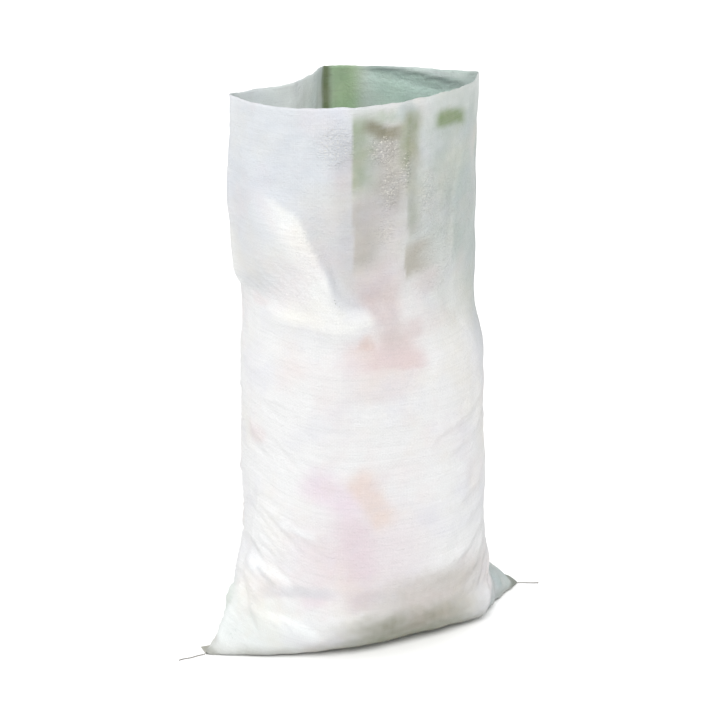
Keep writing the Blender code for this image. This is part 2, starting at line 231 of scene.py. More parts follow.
def tube_shell(path, radius, sides):
    """Points and faces of a closed tube: a ring of points about each point of the path, with flat ends.

    Each ring stands across the path, turned so that its first point is uppermost.
    """
    path = np.asarray(path, dtype=float)
    along = np.gradient(path, axis=0)
    along /= np.linalg.norm(along, axis=1)[:, None]
    side = np.cross(along, [0.0, 0.0, 1.0])
    side /= np.maximum(np.linalg.norm(side, axis=1), 1e-9)[:, None]
    up = np.cross(side, along)
    angle = np.arange(sides) * 2 * math.pi / sides
    rings = path[:, None, :] + radius * (np.cos(angle)[None, :, None] * up[:, None, :]
                                         - np.sin(angle)[None, :, None] * side[:, None, :])
    count = len(path)
    first = (np.arange(count - 1)[:, None] * sides + np.arange(sides)[None, :]).ravel()
    following = (np.arange(count - 1)[:, None] * sides + (np.arange(sides)[None, :] + 1) % sides).ravel()
    faces = np.stack([first, following, following + sides, first + sides], axis=1).tolist()
    faces.append(list(range(sides))[::-1])
    faces.append(list(range((count - 1) * sides, count * sides)))
    return rings.reshape(-1, 3), faces


def plait_lines(path, pitch, width, height):
    """Three yarn lines of a flat plait on a path.

    Each swings from side to side once a pitch and rises and falls twice, a third of a
    pitch behind the last one.
    """
    path = np.asarray(path, dtype=float)
    steps = np.linalg.norm(np.diff(path, axis=0), axis=1)
    run = np.concatenate([[0.0], np.cumsum(steps)])
    along = np.gradient(path, axis=0)
    side = np.cross(along, [0.0, 0.0, 1.0])
    side /= np.linalg.norm(side, axis=1)[:, None]
    lines = []
    for yarn in range(3):
        phase = 2 * math.pi * (run / pitch + yarn / 3)
        swing = side * (np.sin(phase) * width)[:, None]
        rise = np.array([0.0, 0.0, 1.0]) * (np.sin(2 * phase) * height)[:, None]
        lines.append(path + swing + rise)
    return lines


def join_shells(shells):
    """Several sets of points and faces as one."""
    points = []
    faces = []
    start = 0
    for shell_points, shell_faces in shells:
        points.append(shell_points)
        faces += [[corner + start for corner in face] for face in shell_faces]
        start += len(shell_points)
    return np.vstack(points), faces


def add_piece(name, points, faces, material, smooth=True):
    """Make a mesh piece at the origin that rides on the one body."""
    mesh = bpy.data.meshes.new(name)
    mesh.from_pydata(np.asarray(points).tolist(), [], faces)
    mesh.materials.append(material)
    if smooth:
        mesh.shade_smooth()
    piece = bpy.data.objects.new(name, mesh)
    bpy.context.collection.objects.link(piece)
    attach(piece, "root")
    return piece


NEAR_GROUND = near_ground_group()
THREAD = thread_material()
for tail_name, route in (("left", LEFT_TAIL_ROUTE), ("right", RIGHT_TAIL_ROUTE)):
    line = curve_through(route)
    tail_path = even_points(line, 90)
    yarns = plait_lines(tail_path, PLAIT_PITCH, TAIL_DIAMETER / 2 - YARN_RADIUS, YARN_RADIUS * 0.8)
    tail_points, tail_faces = join_shells([tube_shell(yarn, YARN_RADIUS, 8) for yarn in yarns])
    tail = add_piece(f"thread_tail_{tail_name}_plait", tail_points, tail_faces, THREAD)
    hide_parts(f"thread_tail_{tail_name}")


# Seam stitches: the chain stitching through the folded hem, seen from below as a line of
# small links, in the same spun thread.
STITCH_LINE = 0.010
STITCH_HALF_LENGTH = 0.262
STITCH_HEIGHT = 0.00066
STITCH_PITCH = 0.0120

stitch_path = np.zeros((1100, 3))
stitch_path[:, 0] = np.linspace(-STITCH_HALF_LENGTH, STITCH_HALF_LENGTH, 1100)
stitch_path[:, 1] = STITCH_LINE
stitch_path[:, 2] = STITCH_HEIGHT
stitch_yarns = plait_lines(stitch_path, STITCH_PITCH, 0.00062, 0.00020)
stitch_points, stitch_faces = join_shells([tube_shell(yarn, 0.00032, 6) for yarn in stitch_yarns])
stitches = add_piece("seam_chain_stitch", stitch_points, stitch_faces, THREAD)
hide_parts("seam_thread")


# The sack: one woven tube of plastic tape, closed below, filled to half and open above. Its
# standing form is set by level sections. The cloth then settles on the rubble, and gets the
# folds of its packing, of its ears and of the slack part over the fill.
FLAT_WIDTH = 0.560
STAND_HEIGHT = 0.888
CLOTH_LENGTH = 0.985
CLOTH_THICKNESS = 0.0007
BODY_LEFT = 0.202
BODY_LEFT_TAPER = 0.012
BODY_RIGHT = 0.200
BODY_RIGHT_TAPER = 0.030
FRONT_DEPTH = 0.129
BACK_DEPTH = 0.144
GROUND_FRONT = 0.052
GROUND_BACK = 0.050
LEFT_EAR_RISE = 0.185
LEFT_EAR_CURVE = 1.35
LEFT_EAR_POWER = 2.5
RIGHT_EAR_RISE = 0.075
RIGHT_EAR_CURVE = 0.75
RIGHT_EAR_POWER = 4.0
BODY_POWER = 2.6
MOUTH_LEFT = (-0.209, 0.014)
MOUTH_RIGHT = (0.179, -0.007)
MOUTH_BACK_FOLD = (-0.013, 0.128)
MOUTH_FRONT_CURVE = [(-0.196, -0.058), (-0.153, -0.105), (-0.082, -0.132)]
MOUTH_FRONT_FOLD = (-0.004, -0.130)
MOUTH_RIGHT_CURVE = [(0.072, -0.104), (0.140, -0.062)]
MOUTH_BACK_LEFT_CURVE = [(-0.158, 0.030), (-0.118, 0.035), (-0.088, 0.050)]
MOUTH_BACK_RIGHT_CURVE = [(0.086, 0.075)]
CHEEK_LEFT = 0.585
CHEEK_RIGHT = 0.450
LOOSE_RUN = 0.150
FOLD_LOOSE_RUN = 0.045
SIDE_BULGE = 0.010
SIDE_BULGE_HEIGHT = 0.735
SIDE_BULGE_SPREAD = 0.090
SIDE_BULGE_SHARE = 0.16
HOLLOW_DEPTH = 0.014
HOLLOW_FLOOR = 0.572
HOLLOW_TOP = 0.760
HOLLOW_EDGE_SHARE = 0.345
HOLLOW_EDGE_SLANT = -0.70
HOLLOW_EDGE_SOFTNESS = 0.09
HOLLOW_FAR_SHARE = 0.50
FILL_TOP = 0.455
HEM_TOP = 0.0022
GROUND_TOUCH = 0.0004

# How far inside its form the cloth may lie over the rubble, and the part of its spare
# length that shows as small cross folds.
CORE_MARGIN = 0.0006
CORE_CLEARANCE = 0.0006
SPARE_SHOWN = 0.14

# Folds: a line of points, each the share of the way round (0 to 1 along the front, 1 to 2
# back along the other panel) and the height. Then the crest's rise, and how far the fold
# runs out to the left and to the right of its line.
FOLDS = [
    ([(0.404, 0.930), (0.408, 0.755), (0.418, 0.680), (0.415, 0.590)], 0.0034, 0.034, 0.014),
    ([(0.560, 0.930), (0.577, 0.742), (0.595, 0.610)], 0.0030, 0.022, 0.018),
    ([(0.850, 0.920), (0.838, 0.857), (0.819, 0.806), (0.785, 0.750), (0.769, 0.698), (0.768, 0.580)],
     0.0032, 0.040, 0.010),
    ([(0.850, 0.700), (0.800, 0.660), (0.775, 0.600), (0.755, 0.530)], 0.0022, 0.030, 0.008),
    ([(0.080, 0.800), (0.176, 0.756), (0.248, 0.738), (0.283, 0.703), (0.310, 0.660), (0.325, 0.605), (0.380, 0.587),
      (0.470, 0.580)], 0.0080, 0.024, 0.070),
    ([(0.060, 0.588), (0.155, 0.573), (0.206, 0.568), (0.267, 0.560), (0.337, 0.556), (0.402, 0.567), (0.470, 0.580)],
     0.0060, 0.044, 0.040),
    ([(0.190, 0.703), (0.235, 0.708), (0.285, 0.705)], 0.0011, 0.004, 0.004),
    ([(0.205, 0.692), (0.250, 0.694), (0.290, 0.692)], 0.0011, 0.004, 0.004),
    ([(0.270, 0.667), (0.295, 0.668), (0.320, 0.666)], 0.0009, 0.004, 0.004),
    ([(0.345, 0.702), (0.380, 0.700), (0.415, 0.697)], 0.0010, 0.004, 0.006),
    ([(0.850, 0.430), (0.792, 0.398), (0.729, 0.384), (0.622, 0.366), (0.570, 0.335)], 0.0030, 0.008, 0.022),
    ([(0.860, 0.400), (0.811, 0.365), (0.757, 0.346), (0.699, 0.338), (0.640, 0.318)], 0.0024, 0.007, 0.018),
    ([(0.870, 0.300), (0.811, 0.268), (0.747, 0.250), (0.670, 0.238)], 0.0026, 0.008, 0.020),
    ([(0.900, 0.255), (0.838, 0.226), (0.776, 0.211), (0.700, 0.185)], 0.0026, 0.008, 0.020),
    ([(0.880, 0.205), (0.811, 0.177), (0.757, 0.162), (0.680, 0.138)], 0.0028, 0.008, 0.020),
    ([(0.900, 0.160), (0.838, 0.143), (0.784, 0.119), (0.740, 0.096)], 0.0026, 0.007, 0.018),
    ([(0.900, 0.150), (0.865, 0.121), (0.784, 0.118), (0.700, 0.100)], 0.0024, 0.007, 0.016),
    ([(0.830, 0.170), (0.783, 0.153), (0.694, 0.142), (0.640, 0.126)], 0.0020, 0.008, 0.014),
    ([(0.990, 0.125), (0.955, 0.084), (0.880, 0.077), (0.825, 0.062), (0.788, 0.036), (0.770, 0.014), (0.760, -0.020)],
     0.0085, 0.004, 0.060),
    ([(0.999, 0.108), (0.975, 0.070), (0.905, 0.062), (0.850, 0.046), (0.815, 0.024), (0.796, 0.002), (0.786, -0.020)],
     -0.0110, 0.048, 0.006),
    ([(0.800, 0.004), (0.850, 0.014), (0.905, 0.014), (0.975, 0.002)], -0.0070, 0.030, 0.030),
    ([(0.030, 0.200), (-0.005, 0.165), (-0.030, 0.130)], -0.0050, 0.020, 0.020),
    ([(0.640, 0.030), (0.676, 0.049), (0.722, 0.056), (0.790, 0.053)], 0.0020, 0.008, 0.012),
    ([(-0.010, 0.170), (0.040, 0.158), (0.100, 0.154), (0.135, 0.147), (0.180, 0.138)], 0.0034, 0.006, 0.022),
    ([(0.060, 0.170), (0.085, 0.160), (0.110, 0.146), (0.145, 0.130)], 0.0026, 0.005, 0.012),
    ([(0.020, 0.098), (0.081, 0.090), (0.150, 0.080), (0.216, 0.074), (0.270, 0.052), (0.310, 0.030)],
     0.0034, 0.010, 0.022),
    ([(0.060, 0.094), (0.100, 0.084), (0.140, 0.072)], 0.0018, 0.005, 0.010),
    ([(0.150, 0.104), (0.189, 0.098), (0.252, 0.098), (0.330, 0.090)], 0.0012, 0.012, 0.008),
    ([(0.225, 0.101), (0.270, 0.106), (0.300, 0.103), (0.340, 0.091)], 0.0018, 0.008, 0.004),
    ([(0.000, 0.320), (0.063, 0.290), (0.159, 0.272), (0.216, 0.232), (0.260, 0.190)], 0.0012, 0.022, 0.012),
    ([(0.060, 0.278), (0.103, 0.264), (0.145, 0.256)], 0.0016, 0.012, 0.012),
    ([(0.120, 0.245), (0.190, 0.232), (0.260, 0.221)], 0.0016, 0.013, 0.011),
    ([(0.010, 0.205), (0.080, 0.200), (0.180, 0.186)], 0.0012, 0.014, 0.010),
    ([(0.250, 0.213), (0.360, 0.196), (0.500, 0.182)], 0.0008, 0.018, 0.012),
    ([(0.060, 0.310), (0.050, 0.260), (0.026, 0.210), (0.018, 0.160)], 0.0022, 0.012, 0.005),
    ([(0.010, 0.400), (0.040, 0.384), (0.070, 0.374), (0.100, 0.352)], 0.0020, 0.012, 0.006),
    ([(0.000, 0.460), (0.080, 0.440), (0.170, 0.438)], 0.0012, 0.014, 0.008),
    ([(1.930, 0.052), (1.958, 0.082), (1.985, 0.112)], 0.0070, 0.026, 0.014),
    ([(1.020, 0.862), (1.120, 0.856), (1.250, 0.868), (1.420, 0.884)], 0.0030, 0.007, 0.012),
    ([(1.030, 0.835), (1.150, 0.828), (1.300, 0.838)], 0.0024, 0.007, 0.012),
    ([(1.440, 0.930), (1.445, 0.800), (1.440, 0.640)], 0.0030, 0.018, 0.018),
    ([(1.200, 0.720), (1.300, 0.650), (1.450, 0.600)], 0.0040, 0.012, 0.040),
    ([(1.550, 0.930), (1.560, 0.780), (1.550, 0.620)], 0.0026, 0.016, 0.024),
    ([(1.060, 0.420), (1.130, 0.390), (1.230, 0.380)], 0.0026, 0.016, 0.007),
    ([(1.050, 0.290), (1.140, 0.262), (1.260, 0.250)], 0.0026, 0.018, 0.007),
    ([(1.040, 0.180), (1.120, 0.150), (1.220, 0.130)], 0.0030, 0.018, 0.007),
    ([(1.740, 0.240), (1.850, 0.270), (1.970, 0.310)], 0.0026, 0.018, 0.007),
    ([(1.700, 0.120), (1.820, 0.160), (1.960, 0.210)], 0.0034, 0.020, 0.008),
    ([(1.760, 0.400), (1.880, 0.420), (1.990, 0.450)], 0.0022, 0.014, 0.007),
]

# Colours of the cloth, what shows faintly through it, and painted light: painted shade, contact shadow and green light
# where marked. For each patch its place as above, its half sizes, its colour and how strong it is at the middle.
CLOTH_WHITE = (0.86, 0.86, 0.865)
# The inner face is painted greener and darker: painted green light from the surroundings and painted shade inside the
# sack.
CLOTH_INNER = (0.68, 0.74, 0.72)
OUTSIDE_PATCHES = [
    (0.20, 0.800, 0.34, 0.16, (0.66, 0.685, 0.73), 0.85),
    (0.10, 0.665, 0.080, 0.070, (0.70, 0.71, 0.74), 0.75),
    # Upper right: painted shade, tinted green by light through the cloth.
    (0.80, 0.770, 0.26, 0.17, (0.48, 0.525, 0.495), 0.98),
    (0.80, 0.600, 0.22, 0.09, (0.62, 0.64, 0.61), 0.60),
    # Painted shade darkening towards the right edge, tinted green.
    (0.96, 0.620, 0.15, 0.22, (0.45, 0.52, 0.50), 0.85),
    # Painted shade in the hollow above the cheek, right of its diagonal edge.
    (0.36, 0.690, 0.075, 0.090, (0.68, 0.69, 0.71), 0.85),
    (0.43, 0.625, 0.055, 0.040, (0.74, 0.74, 0.72), 0.70),
    # Painted shade on the facet between the packing creases, tinted brown.
    (0.51, 0.760, 0.085, 0.13, (0.48, 0.455, 0.42), 0.92),
    (0.51, 0.690, 0.070, 0.045, (0.69, 0.66, 0.635), 0.85),
    (0.51, 0.868, 0.050, 0.010, (0.50, 0.55, 0.47), 0.90),
    (0.58, 0.872, 0.050, 0.018, (0.47, 0.54, 0.55), 0.80),
    (0.49, 0.615, 0.110, 0.050, (0.67, 0.59, 0.59), 0.80),
    (0.47, 0.515, 0.130, 0.044, (0.80, 0.69, 0.68), 0.80),
    (0.38, 0.510, 0.080, 0.032, (0.80, 0.69, 0.70), 0.60),
    (0.66, 0.612, 0.060, 0.026, (0.66, 0.60, 0.60), 0.60),
    (0.582, 0.545, 0.045, 0.018, (0.70, 0.61, 0.61), 0.60),
    (0.44, 0.462, 0.130, 0.028, (0.81, 0.73, 0.71), 0.60),
    (0.400, 0.532, 0.030, 0.014, (0.73, 0.56, 0.51), 0.60),
    (0.38, 0.180, 0.240, 0.090, (0.78, 0.70, 0.73), 0.70),
    (0.25, 0.115, 0.045, 0.018, (0.76, 0.66, 0.72), 0.60),
    (0.39, 0.110, 0.050, 0.020, (0.70, 0.58, 0.62), 0.60),
    (0.055, 0.380, 0.040, 0.020, (0.80, 0.68, 0.69), 0.50),
    (0.17, 0.500, 0.050, 0.040, (0.84, 0.78, 0.75), 0.30),
    (0.08, 0.592, 0.040, 0.010, (0.80, 0.72, 0.72), 0.50),
    # Low bands, darker brown to dark olive towards the floor: dust, with painted shade, contact shadow and a painted
    # green reflection of the ground.
    (0.62, 0.100, 0.260, 0.042, (0.52, 0.48, 0.44), 0.72),
    (0.54, 0.052, 0.230, 0.030, (0.26, 0.255, 0.185), 0.85),
    (0.52, 0.015, 0.290, 0.026, (0.22, 0.235, 0.14), 0.85),
    (0.05, 0.060, 0.200, 0.070, (0.78, 0.83, 0.81), 0.60),
    (1.45, 0.720, 0.500, 0.180, (0.62, 0.65, 0.63), 0.75),
    (1.30, 0.400, 0.120, 0.060, (0.82, 0.70, 0.66), 0.45),
    (1.62, 0.250, 0.140, 0.070, (0.78, 0.72, 0.64), 0.45),
    (1.50, 0.060, 0.300, 0.050, (0.56, 0.51, 0.42), 0.60),
    (1.965, 0.085, 0.030, 0.030, (0.66, 0.74, 0.69), 0.60),
]
# Inside: painted green light on the back wall, painted shade in its corner as a dark olive line, and darker lower
# down.
INSIDE_PATCHES = [
    (1.76, 0.860, 0.26, 0.240, (0.90, 0.94, 0.93), 0.95),
    (1.22, 0.850, 0.200, 0.240, (0.60, 0.76, 0.68), 0.85),
    (1.440, 0.860, 0.066, 0.260, (0.42, 0.60, 0.36), 0.88),
    (1.497, 0.860, 0.017, 0.300, (0.21, 0.27, 0.14), 0.95),
    (1.30, 0.470, 0.500, 0.200, (0.44, 0.42, 0.36), 0.70),
    (0.50, 0.470, 0.500, 0.200, (0.44, 0.42, 0.36), 0.70),
]

# Strips of tone over the outside, many of them painted shade and painted highlights along folds and creases: a line of
# points and its reach to each side as for the folds, then the colour and how strong it is on the line. A short reach
# gives a clear edge.
OUTSIDE_STRIPS = [
    # Cheek: painted shade on the hollow above the diagonal edge, a painted highlight on the lit slope below it, and a
    # painted highlight along the shelf at the fill's top.
    ([(0.160, 0.756), (0.215, 0.746), (0.262, 0.730), (0.283, 0.703), (0.310, 0.665), (0.318, 0.640), (0.322, 0.605),
      (0.340, 0.590), (0.380, 0.586), (0.460, 0.582)], 0.050, 0.012, (0.67, 0.68, 0.72), 0.65),
    ([(0.110, 0.772), (0.195, 0.745), (0.245, 0.728), (0.268, 0.703), (0.293, 0.665), (0.306, 0.640), (0.310, 0.600),
      (0.340, 0.582), (0.380, 0.580), (0.480, 0.578)], 0.012, 0.055, (0.91, 0.91, 0.905), 1.0),
    ([(0.100, 0.575), (0.206, 0.573), (0.267, 0.564), (0.337, 0.561), (0.402, 0.569), (0.490, 0.577)],
     0.018, 0.012, (0.92, 0.92, 0.90), 1.0),
    # Packing creases: painted shade on the facets right of the creases, tinted green and brown, with a clear edge on
    # each crease.
    ([(0.402, 0.900), (0.406, 0.755), (0.416, 0.680), (0.414, 0.600)], 0.003, 0.042, (0.56, 0.565, 0.60), 0.80),
    ([(0.405, 0.895), (0.409, 0.830), (0.409, 0.790), (0.410, 0.745)], 0.054, 0.004, (0.36, 0.41, 0.31), 1.0),
    ([(0.409, 0.780), (0.410, 0.732), (0.420, 0.678), (0.417, 0.630)], 0.064, 0.004, (0.46, 0.44, 0.415), 0.85),
    ([(0.425, 0.864), (0.470, 0.856), (0.515, 0.845), (0.575, 0.849)], 0.014, 0.018, (0.25, 0.24, 0.17), 1.0),
    ([(0.602, 0.882), (0.586, 0.850), (0.582, 0.825), (0.586, 0.780)], 0.034, 0.028, (0.29, 0.33, 0.215), 1.0),
    # Painted shade, tinted green and brown, right of the next creases.
    ([(0.566, 0.820), (0.577, 0.742), (0.590, 0.665)], 0.044, 0.004, (0.42, 0.44, 0.38), 0.90),
    ([(0.576, 0.682), (0.580, 0.668), (0.584, 0.640), (0.592, 0.612)], 0.074, 0.004, (0.49, 0.465, 0.41), 0.95),
    ([(0.848, 0.880), (0.838, 0.857), (0.819, 0.806), (0.785, 0.750), (0.769, 0.698), (0.768, 0.600)],
     0.060, 0.004, (0.46, 0.52, 0.495), 0.85),
    ([(0.670, 0.850), (0.757, 0.847), (0.840, 0.840)], 0.019, 0.017, (0.23, 0.30, 0.16), 1.1),
    ([(0.455, 0.640), (0.500, 0.575), (0.500, 0.480)], 0.046, 0.046, (0.66, 0.57, 0.56), 0.70),
    ([(0.370, 0.499), (0.497, 0.491), (0.615, 0.482)], 0.044, 0.006, (0.76, 0.63, 0.64), 0.75),
    ([(0.190, 0.325), (0.297, 0.292), (0.395, 0.250)], 0.042, 0.040, (0.81, 0.68, 0.76), 0.65),
    ([(0.335, 0.335), (0.405, 0.273), (0.455, 0.215)], 0.042, 0.026, (0.81, 0.67, 0.61), 0.75),
    ([(1.010, 0.115), (0.975, 0.070), (0.905, 0.062), (0.850, 0.046), (0.815, 0.024), (0.796, 0.002), (0.780, -0.040)],
     0.110, 0.004, (0.49, 0.57, 0.57), 0.95),
    # Painted highlight: a thin white line along the crest of the right ear's fold.
    ([(0.990, 0.125), (0.960, 0.080), (0.893, 0.073), (0.836, 0.056), (0.800, 0.032), (0.782, 0.008), (0.772, -0.020)],
     0.004, 0.004, (0.93, 0.93, 0.95), 0.90),
    ([(0.060, 0.108), (0.108, 0.118), (0.175, 0.125), (0.243, 0.126), (0.330, 0.118)], 0.018, 0.012,
     (0.67, 0.67, 0.70), 0.70),
    # Left ear's folds: painted highlights on the lit facets and crests, and painted shade along one crease.
    ([(0.040, 0.172), (0.105, 0.164), (0.150, 0.155), (0.200, 0.140)], 0.004, 0.030, (0.93, 0.94, 0.95), 0.90),
    ([(0.060, 0.164), (0.090, 0.152), (0.115, 0.142), (0.150, 0.130)], 0.005, 0.008, (0.62, 0.64, 0.66), 0.65),
    ([(0.100, 0.092), (0.180, 0.080), (0.240, 0.068), (0.300, 0.040)], 0.006, 0.028, (0.93, 0.95, 0.95), 0.90),
    ([(0.060, 0.278), (0.103, 0.264), (0.145, 0.256)], 0.010, 0.010, (0.92, 0.92, 0.93), 0.90),
    ([(0.120, 0.245), (0.190, 0.232), (0.260, 0.221)], 0.010, 0.010, (0.92, 0.92, 0.93), 0.90),
    ([(0.940, 0.000), (1.000, 0.012), (1.060, 0.000)], 0.014, 0.014, (0.20, 0.24, 0.22), 0.90),
    ([(-0.030, 0.000), (0.000, 0.008), (0.030, 0.000)], 0.010, 0.010, (0.36, 0.38, 0.36), 0.60),
    ([(0.335, 0.275), (0.365, 0.190), (0.388, 0.110)], 0.044, 0.044, (0.76, 0.64, 0.69), 0.65),
]
INSIDE_STRIPS = [
    ([(1.40, 0.888), (1.28, 0.883), (1.17, 0.876), (1.09, 0.869), (1.01, 0.864)], 0.006, 0.005, (0.20, 0.27, 0.24), 0.80),
    ([(1.34, 0.893), (1.22, 0.888), (1.12, 0.883), (1.00, 0.880)], 0.010, 0.007, (0.84, 0.90, 0.88), 0.80),
]
CRINKLED = [(0.50, 0.822, 0.060, 0.026, 1.0), (0.565, 0.790, 0.020, 0.034, 1.0), (0.520, 0.765, 0.035, 0.045, 0.9),
            (0.515, 0.700, 0.030, 0.030, 0.8), (0.655, 0.745, 0.035, 0.040, 0.8), (0.36, 0.835, 0.070, 0.040, 0.8),
            (0.70, 0.680, 0.120, 0.120, 0.5), (0.30, 0.690, 0.080, 0.060, 0.4), (1.20, 0.870, 0.200, 0.030, 0.5)]

# How finely the cloth is drawn, and how long it settles.
PANEL_CELLS = 112
LENGTH_CELLS = 192
RELAX_ROUNDS = 220


def ease(value):
    """Ease from 0 to 1: 3 v^2 - 2 v^3, held at the ends."""
    value = np.clip(value, 0.0, 1.0)
    return value * value * (3.0 - 2.0 * value)


def mouth_outline(count):
    """The mouth's front and back halves, each from the left side fold to the right one."""
    front = np.vstack([curve_through([MOUTH_LEFT, *MOUTH_FRONT_CURVE, MOUTH_FRONT_FOLD]),
                       curve_through([MOUTH_FRONT_FOLD, *MOUTH_RIGHT_CURVE, MOUTH_RIGHT])[1:]])
    back = np.vstack([curve_through([MOUTH_LEFT, *MOUTH_BACK_LEFT_CURVE, MOUTH_BACK_FOLD]),
                      curve_through([MOUTH_BACK_FOLD, *MOUTH_BACK_RIGHT_CURVE, MOUTH_RIGHT])[1:]])
    return even_points(front, count), even_points(back, count)


def ear_reach(height, half_width, rise, curve):
    """How far the side stands out: half width + (tip - half width)(1 - height / rise)^curve."""
    share = max(0.0, 1.0 - height / rise) ** curve
    return half_width + (FLAT_WIDTH / 2 - half_width) * share


def wall_depth(height, depth, ground):
    """Half depth of the body, whose lower edge is a quarter circle down to the strip on the ground."""
    radius = depth - ground
    if height >= radius:
        return depth
    return ground + math.sqrt(radius ** 2 - (radius - height) ** 2)


def body_outline(height, count):
    """Front and back halves of the filled body's level section, drawn out to the ears low down.

    At x = a * across, y = depth * (1 - |across|^power)^bluntness.
    """
    left = ear_reach(height, BODY_LEFT - BODY_LEFT_TAPER * height, LEFT_EAR_RISE, LEFT_EAR_CURVE)
    right = ear_reach(height, BODY_RIGHT - BODY_RIGHT_TAPER * height, RIGHT_EAR_RISE, RIGHT_EAR_CURVE)
    across = -np.cos(np.linspace(0.0, math.pi, 721))
    rounding = np.where(across < 0, ease(height / LEFT_EAR_RISE), ease(height / RIGHT_EAR_RISE / 1.3))
    low_power = np.where(across < 0, LEFT_EAR_POWER, RIGHT_EAR_POWER)
    power = low_power + (BODY_POWER - low_power) * rounding
    bulge = (1.0 - np.abs(across) ** power) ** (1.0 - 0.48 * rounding)
    x = np.where(across < 0, across * left, across * right)
    halves = []
    for side, depth, ground in ((-1, FRONT_DEPTH, GROUND_FRONT), (1, BACK_DEPTH, GROUND_BACK)):
        y = side * bulge * wall_depth(height, depth, ground)
        halves.append(even_points(np.stack([x, y], axis=1), count))
    return halves


def front_hollow(share, height):
    """How far the front panel falls in over the fill: sharp at the fill's top, fading up and right."""
    edge = HOLLOW_EDGE_SHARE + HOLLOW_EDGE_SLANT * (height - HOLLOW_FLOOR)
    across = ease((share - edge) / HOLLOW_EDGE_SOFTNESS) * (1.0 - ease((share - HOLLOW_FAR_SHARE) / 0.25))
    upward = ease((height - HOLLOW_FLOOR) / 0.02) * (1.0 - ease((height - HOLLOW_FLOOR - 0.03)
                                                                / (HOLLOW_TOP - HOLLOW_FLOOR - 0.03)))
    return HOLLOW_DEPTH * across * upward


def sack_outline(height, count):
    """Front and back rows of the sack at one height: the body's section, going over to the mouth's."""
    share = np.linspace(0.0, 1.0, count)
    start = CHEEK_LEFT + (CHEEK_RIGHT - CHEEK_LEFT) * ease((share - 0.15) / 0.45)
    run = FOLD_LOOSE_RUN + (LOOSE_RUN - FOLD_LOOSE_RUN) * ease(share / 0.35)
    loose = ease((height - start) / run)[:, None]
    bulge = SIDE_BULGE * math.exp(-((height - SIDE_BULGE_HEIGHT) / SIDE_BULGE_SPREAD) ** 2)
    bulge = bulge * np.exp(-(share / SIDE_BULGE_SHARE) ** 2)
    rows = []
    hollows = (front_hollow(share, height), 0.0)
    for low, high, hollow in zip(body_outline(height, count), mouth_outline(count), hollows):
        level = low * (1.0 - loose) + high * loose
        level[:, 0] -= bulge
        level[:, 1] += hollow
        rows.append(np.column_stack([level, np.full(count, height)]))
    return rows


def standing_form():
    """The cloth's grid on the standing form, rows up the sack and columns round it.

    Each column starts on the seam, runs along the ground and climbs the wall, in equal
    steps. The columns go along the front panel and back along the other.
    """
    count = PANEL_CELLS + 1
    heights = np.concatenate([[0.0, 0.002, 0.005, 0.009, 0.014], np.arange(0.020, 0.10, 0.008),
                              np.arange(0.10, STAND_HEIGHT - 0.006, 0.010), [STAND_HEIGHT]])
    levels = [sack_outline(float(height), count) for height in heights]
    seam = np.zeros((count, 3))
    seam[:, 0] = np.linspace(-FLAT_WIDTH / 2, FLAT_WIDTH / 2, count)
    panels = []
    for side in (0, 1):
        lines = np.stack([seam] + [level[side] for level in levels])
        columns = [even_points(lines[:, index], LENGTH_CELLS + 1) for index in range(count)]
        panels.append(np.stack(columns, axis=1))
    return np.concatenate([panels[0], panels[1][:, -2:0:-1]], axis=1)


def grid_normals(grid):
    """Outward normals of the cloth's grid, from the steps round and up."""
    around = np.roll(grid, -1, axis=1) - np.roll(grid, 1, axis=1)
    upward = np.gradient(grid, axis=0)
    normal = np.cross(around, upward)
    return normal / np.maximum(np.linalg.norm(normal, axis=2), 1e-12)[:, :, None]


def swell(place, count, shortest, longest, seed):
    """A smooth uneven height between about -1 and 1: a sum of sine waves in all directions.

    The waves fit the way round the sack, so the height closes on itself.
    """
    dice = np.random.default_rng(seed)
    total = np.zeros(place.shape[:2])
    for index in range(count):
        length = math.exp(dice.uniform(math.log(shortest), math.log(longest)))
        angle = dice.uniform(0.0, math.pi)
        turns = round(2 * FLAT_WIDTH * math.cos(angle) / length)
        rise = math.sin(angle) / length
        phase = 2 * math.pi * (turns * place[:, :, 0] / (2 * FLAT_WIDTH) + rise * place[:, :, 1]
                               + dice.uniform(0.0, 1.0))
        total += np.sin(phase)
    return total * math.sqrt(2.0 / count) * 0.6


def rubble_bumps(place, seed):
    """How far pieces of rubble push the cloth out: low domes scattered over the filled part."""
    dice = np.random.default_rng(seed)
    bumps = np.zeros(place.shape[:2])
    for radius, height, count in ((0.075, 0.0042, 60), (0.045, 0.0026, 110), (0.022, 0.0012, 140)):
        spots = dice.uniform((0.0, 0.04), (2 * FLAT_WIDTH, 0.60), (count, 2))
        sizes = dice.uniform(0.7, 1.2, count)
        for (across, along), size in zip(spots, sizes):
            sideways = np.abs(place[:, :, 0] - across)
            sideways = np.minimum(sideways, 2 * FLAT_WIDTH - sideways)
            near = 1.0 - (sideways ** 2 + (place[:, :, 1] - along) ** 2) / (radius * size) ** 2
            bumps = np.maximum(bumps, height * size * np.clip(near, 0.0, 1.0))
    return bumps


def solid_copy(name):
    """A mesh copy of a CAD node, with its loose triangles joined."""
    shape = bmesh.new()
    shape.from_mesh(bpy.data.objects[name].data)
    bmesh.ops.remove_doubles(shape, verts=shape.verts, dist=0.00001)
    bmesh.ops.recalc_face_normals(shape, faces=shape.faces)
    mesh = bpy.data.meshes.new(name + "_copy")
    shape.to_mesh(mesh)
    shape.free()
    return mesh


def hold_off(cloth, solid, margin):
    """Move the cloth's points that lie in a solid, or nearer to it than a margin, out to that margin."""
    points = cloth.reshape(-1, 3).copy()
    for index, point in enumerate(points):
        place, normal, face, distance = solid.find_nearest(Vector(point), 0.03)
        if place is not None and (Vector(point) - place).dot(normal) < margin:
            points[index] = place + normal * margin
    return points.reshape(cloth.shape)


